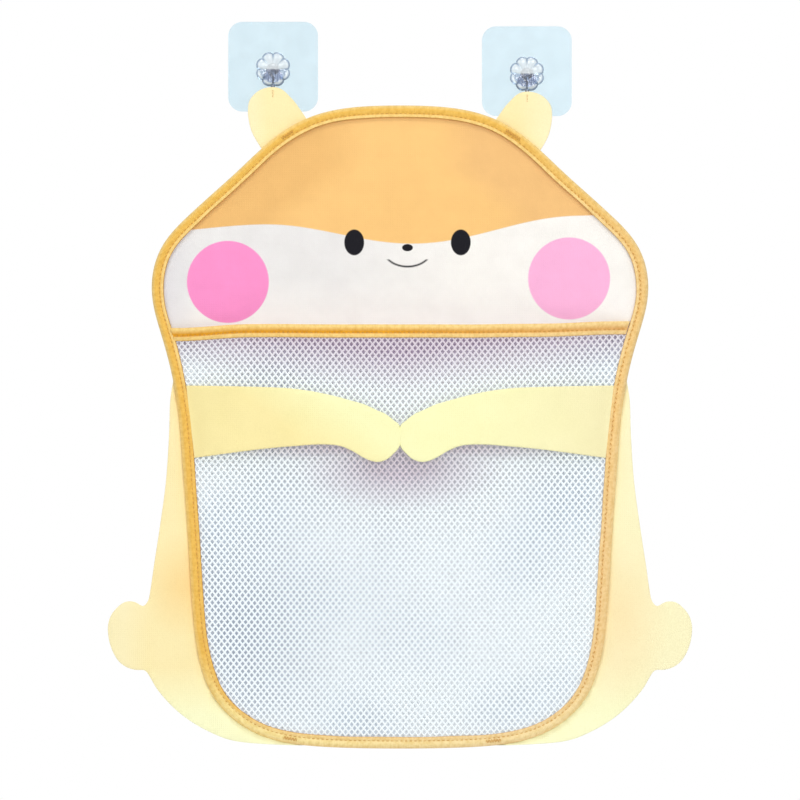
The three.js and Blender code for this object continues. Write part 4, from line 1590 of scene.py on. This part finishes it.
class TOYBAG_OT_pocket_hem(bpy.types.Operator):
    """The tape folded over the pocket's mouth"""

    bl_idname = "toybag.pocket_hem"
    bl_label = "Pocket hem"

    STATIONS = 300
    PUCKER = 0.14  # how far a stitch draws the hem in
    FACE_DROPS = (1, 8)
    FACE_START = 0.9  # the hem's front face is farther forward than this
    # Small dents, as [height, length along, length across], and a slow rise and fall,
    # as [height, length, seed], in millimetres.
    DENTS = (0.34, 7, 3)
    WAVES = (0.25, 30, 2)
    SEED = 5
    PAST_TAPE = 0.3  # how far its ends go in under the edge tape
    # Places across it, from the mouth: its roll with its painted highlight, its painted
    #     lighter band past the stitch line and its rim.
    ROLL = (0.6, 3.8)
    BAND = 0.2
    RIM = 7.6
    # The hem's section, as [drop from the mouth, distance in front of the net], once
    # round.
    SECTION = [(-0.5, -1.1), (-0.8, 0.2), (-0.6, 0.95), (0, 1.6), (1, 2.05),
               (2, 2.1), (3, 1.7), (3.9, 1.2), (4.5, 0.95), (5.2, 1.35),
               (6.4, 1.4), (7.4, 1.2), (8, 0.75), (8.1, 0.32), (5.7, 0.36),
               (1.3, 0.3), (0.6, -1.1)]

    def execute(self, context):
        count = len(self.SECTION)
        dent, long, short = self.DENTS
        rise, span, row = self.WAVES
        start, end = self.FACE_DROPS

        def place(i, j):
            drop, forward = self.SECTION[j % count]
            share = -1 + 2 * i / self.STATIONS
            z = -MOUTH_DROP - drop
            x = share * (half_width(FREE_WIDTHS, z) + self.PAST_TAPE)
            if start < drop < end and forward > self.FACE_START:
                forward -= pucker(drop, HEM_LINE, x, self.PUCKER)
                at = Vector((x / long, drop / short, self.SEED))
                forward += dent * noise.noise(at)
            uneven = rise * noise.noise(Vector((x / span, row, self.SEED)))
            at = NET_FRONT + bulge(x, min(z, NET_TOP)) + forward
            return Vector((x, -at, z + hem_rise(x) + uneven))

        def uv_at(i, j):
            return i, self.SECTION[j % count][0]

        mesh = wrap(self.STATIONS, count, place, uv_at)
        bmesh.ops.holes_fill(mesh, edges=[e for e in mesh.edges if e.is_boundary])
        tape = tape_material("folded_hem_tape", colours().tape_hem, self.ROLL,
                             HEM_LINE + self.BAND, self.RIM)
        keep(mesh, bag_matrix(), "hem_tape", tape, "bag",
             ["pocket_hem"])
        return {"FINISHED"}


def arm_outline(side):
    """An arm's outline: along its lower edge to the hand, and back along its top."""
    low = [(along, bottom) for along, top, bottom in reversed(ARM_SHARES)]
    high = [(along, top) for along, top, bottom in ARM_SHARES]
    points = []
    for along, share in low + high:
        z = -ARM_TOP_DROP - ARM_HEIGHT * share
        reach = half_width(FREE_WIDTHS, z) + ARM_PAST_TAPE
        points.append(Vector((side * (HAND_INSET + along * (reach - HAND_INSET)), z)))
    return smoothed(points, 6, closed=False)


class TOYBAG_OT_arms(bpy.types.Operator):
    """The two arms that lie over the net, hand to hand"""

    bl_idname = "toybag.arms"
    bl_label = "Arms"

    ROUNDING = 0.8
    CUTS = 4
    # The share of an arm's length at which its seam begins to press it flat, and how
    # much more than the standoff its hand lifts.
    SEAM_START = 0.92
    HAND_LIFT = 1.8
    WAVE = 0.7
    WAVE_LENGTH = 36

    def execute(self, context):
        palette = colours()
        # Painted shade: each arm is darker and warmer towards its seam, the left one
        # also along its lower edge.
        material = dyed_cloth("brushed_polyester_arms", palette.arm,
                              [((1, 0, 1.33), (-336, -392), palette.arm_left_shaded),
                               (ACROSS, (28, 130), palette.arm_right_shaded)])
        thick, standoff = mm(sizes().arm_cloth), mm(sizes().arm_standoff)
        for label, side in SIDES.items():
            outline = arm_outline(side)

            def place(x, forward, z):
                along = min(abs(x) / half_width(FREE_WIDTHS, z), 1)
                sewn = ease((along - self.SEAM_START) / (1 - self.SEAM_START))
                pressed = 1 - (1 - TAPE_CLOTH / thick) * sewn
                arch = math.sin(math.pi * along)
                lift = standoff * (arch + self.HAND_LIFT * (1 - along) ** 3)
                wave = self.WAVE * wander(x, z, self.WAVE_LENGTH, 9 + side) * arch
                at = (NET_FRONT + bulge(x, z) + SHEET_GAP + lift + abs(wave)
                      + forward * pressed)
                return Vector((x, -at, z))

            mesh = cloth(outline, thick, self.ROUNDING, self.CUTS, place)
            arm = keep(mesh, bag_matrix(), f"{label}_arm_cloth", material,
                       "bag", [f"{label}_arm"])
        return {"FINISHED"}


class TOYBAG_OT_stitching(bpy.types.Operator):
    """The visible stitches of the tape, the hem and the ears"""

    bl_idname = "toybag.stitching"
    bl_label = "Stitching"

    FLATTENED = 0.8
    # How far forward of the bag's back the tape's stitches lie, and the hem's forward
    # of the net, in millimetres.
    ROW_FRONT = 6.24
    ZIGZAG_FRONT = 6.5
    TACK_FRONT = 7.02
    HEM_FRONT = 1.2
    BACK_PROUD = 0.02  # how far the seam stands out behind the body cloth
    # The zigzag runs down the bag's right side only.
    ZIGZAG_ACROSS = 60
    ZIGZAG_UP = (-395, -60)
    ZIGZAG_STEP = (1.5, 0.9)
    BODY_SEAM_TOP = 146
    # The tacks, as [middle, width], and the step of their zigzags along and across.
    TACKS = (((-75.5, -18.5), 9), ((76.5, -18), 12), ((62, -421.5), 10),
             ((-72.5, -421), 9))
    TACK_INSET = 3.4
    TACK_PITCH = 0.9
    TACK_STEP = (0.45, 2)
    EAR_TACKS = 5
    EAR_TACK_DROP = 3.8
    EAR_TACK_PROUD = 0.25
    EAR_TACK_SLANT = 0.35
    EAR_TACK_SIZE = (1.3, 0.3, 0.35)

    def execute(self, context):
        thread = thread_material()
        bag = bmesh.new()
        self.tape_seam(bag)
        self.hem_seam(bag)
        self.back_tacks(bag)
        keep(bag, bag_matrix(), "tape_stitches", thread, "bag")
        tips = bmesh.new()
        for label, pivot in PIVOTS.items():
            for row in range(self.EAR_TACKS):
                at = Vector((pivot.x, -EAR_BACK - EAR_CLOTH - self.EAR_TACK_PROUD,
                             pivot.z - EAR_TOP_DROP - self.EAR_TACK_DROP - row))
                slant = self.EAR_TACK_SLANT * (1 if row % 2 else -1)
                stitch(tips, at, Vector((1, 0, slant)), TO_FRONT, self.EAR_TACK_SIZE)
        keep(tips, row_matrix(), "ear_tip_stitches", thread, "ears")
        return {"FINISHED"}

    def size(self, share=1):
        """A stitch's length, height and width. The cloth presses it flatter."""
        thread = mm(sizes().thread)
        return mm(sizes().stitch_length) * share, thread * self.FLATTENED, thread

    def tape_seam(self, mesh):
        """One straight row round the bag, and a zigzag down its right side."""
        line = inward(BAG_OUTLINE, mm(sizes().stitch_line))
        round_trip = sum((b - a).length for a, b in ring_pairs(line))
        count = round(round_trip / mm(sizes().stitch_pitch))
        row = evenly(line, count)
        ahead, aside = self.ZIGZAG_STEP
        lowest, highest = self.ZIGZAG_UP
        for i, point in enumerate(row):
            along = row[(i + 1) % count] - row[i - 1]
            along = Vector((along.x, 0, along.y)).normalized()
            if point.x > self.ZIGZAG_ACROSS and lowest < point.y < highest:
                across = along.cross(TO_FRONT) * (aside if i % 2 else -aside)
                at = Vector((point.x, -self.ZIGZAG_FRONT, point.y))
                stitch(mesh, at, along * ahead + across, TO_FRONT, self.size(1.1))
            else:
                at = Vector((point.x, -self.ROW_FRONT, point.y))
                stitch(mesh, at, along, TO_FRONT, self.size())
            # The same thread shows on the back of the body cloth that it holds.
            if point.y < -self.BODY_SEAM_TOP:
                back = self.BACK_PROUD - body_forward(point.x, point.y)
                stitch(mesh, Vector((point.x, back, point.y)), along, TO_FRONT,
                       self.size())

    def hem_seam(self, mesh):
        """One straight row along the hem."""
        z = -MOUTH_DROP - HEM_LINE
        reach = half_width(FREE_WIDTHS, z) - 1
        count = round(2 * reach / mm(sizes().stitch_pitch))
        front = NET_FRONT + self.HEM_FRONT
        for i in range(count):
            x = -reach + 2 * reach * (i + 0.5) / count
            before, after = [
                Vector((k, -front - bulge(k, NET_TOP), z + hem_rise(k)))
                for k in (x - 0.5, x + 0.5)
            ]
            stitch(mesh, (before + after) / 2, after - before, TO_FRONT, self.size())

    def back_tacks(self, mesh):
        """Dense zigzags across the tape where the ears and the tape's ends are sewn."""
        line = inward(BAG_OUTLINE, self.TACK_INSET)
        slant, reach = self.TACK_STEP
        for centre, wide in self.TACKS:
            near = min(range(len(line)),
                       key=lambda i: (line[i] - Vector(centre)).length)
            along = (line[(near + 1) % len(line)] - line[near - 1]).normalized()
            along = Vector((along.x, 0, along.y))
            across = TO_FRONT.cross(along)
            steps = round(wide / self.TACK_PITCH)
            for i in range(steps):
                at = Vector((line[near].x, -self.TACK_FRONT, line[near].y))
                at += along * (i - steps / 2) * self.TACK_PITCH
                way = across * reach + along * (slant if i % 2 else -slant)
                stitch(mesh, at, way, TO_FRONT, self.size(1.2))


OPERATORS = (
    TOYBAG_OT_stage, TOYBAG_OT_plates, TOYBAG_OT_flower_bosses, TOYBAG_OT_wire_hooks,
    TOYBAG_OT_hanging_loops, TOYBAG_OT_edge_tape, TOYBAG_OT_body_panel,
    TOYBAG_OT_face_panel, TOYBAG_OT_pocket_net, TOYBAG_OT_pocket_hem, TOYBAG_OT_arms,
    TOYBAG_OT_ears, TOYBAG_OT_stitching,
)


class TOYBAG_PT_panel(bpy.types.Panel):
    """Sizes, colours and pieces of the toy bag"""

    bl_idname = "TOYBAG_PT_panel"
    bl_label = "Bath toy bag"
    bl_space_type = "VIEW_3D"
    bl_region_type = "UI"
    bl_category = "Toy Bag"

    def draw(self, context):
        layout = self.layout
        for group in (context.scene.toy_bag_sizes, context.scene.toy_bag_colours):
            box = layout.box()
            for name in group.bl_rna.properties.keys():
                if name not in ("rna_type", "name"):
                    box.prop(group, name)
        for operator in OPERATORS:
            layout.operator(operator.bl_idname)


CLASSES = (ToyBagSizes, ToyBagColours, *OPERATORS, TOYBAG_PT_panel)


def register():
    for each in CLASSES:
        bpy.utils.register_class(each)
    bpy.types.Scene.toy_bag_sizes = PointerProperty(type=ToyBagSizes)
    bpy.types.Scene.toy_bag_colours = PointerProperty(type=ToyBagColours)


def unregister():
    del bpy.types.Scene.toy_bag_colours
    del bpy.types.Scene.toy_bag_sizes
    for each in reversed(CLASSES):
        bpy.utils.unregister_class(each)


def main():
    register()
    for operator in OPERATORS:
        group, name = operator.bl_idname.split(".")
        getattr(getattr(bpy.ops, group), name)()
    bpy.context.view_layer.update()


if __name__ == "__main__":
    main()
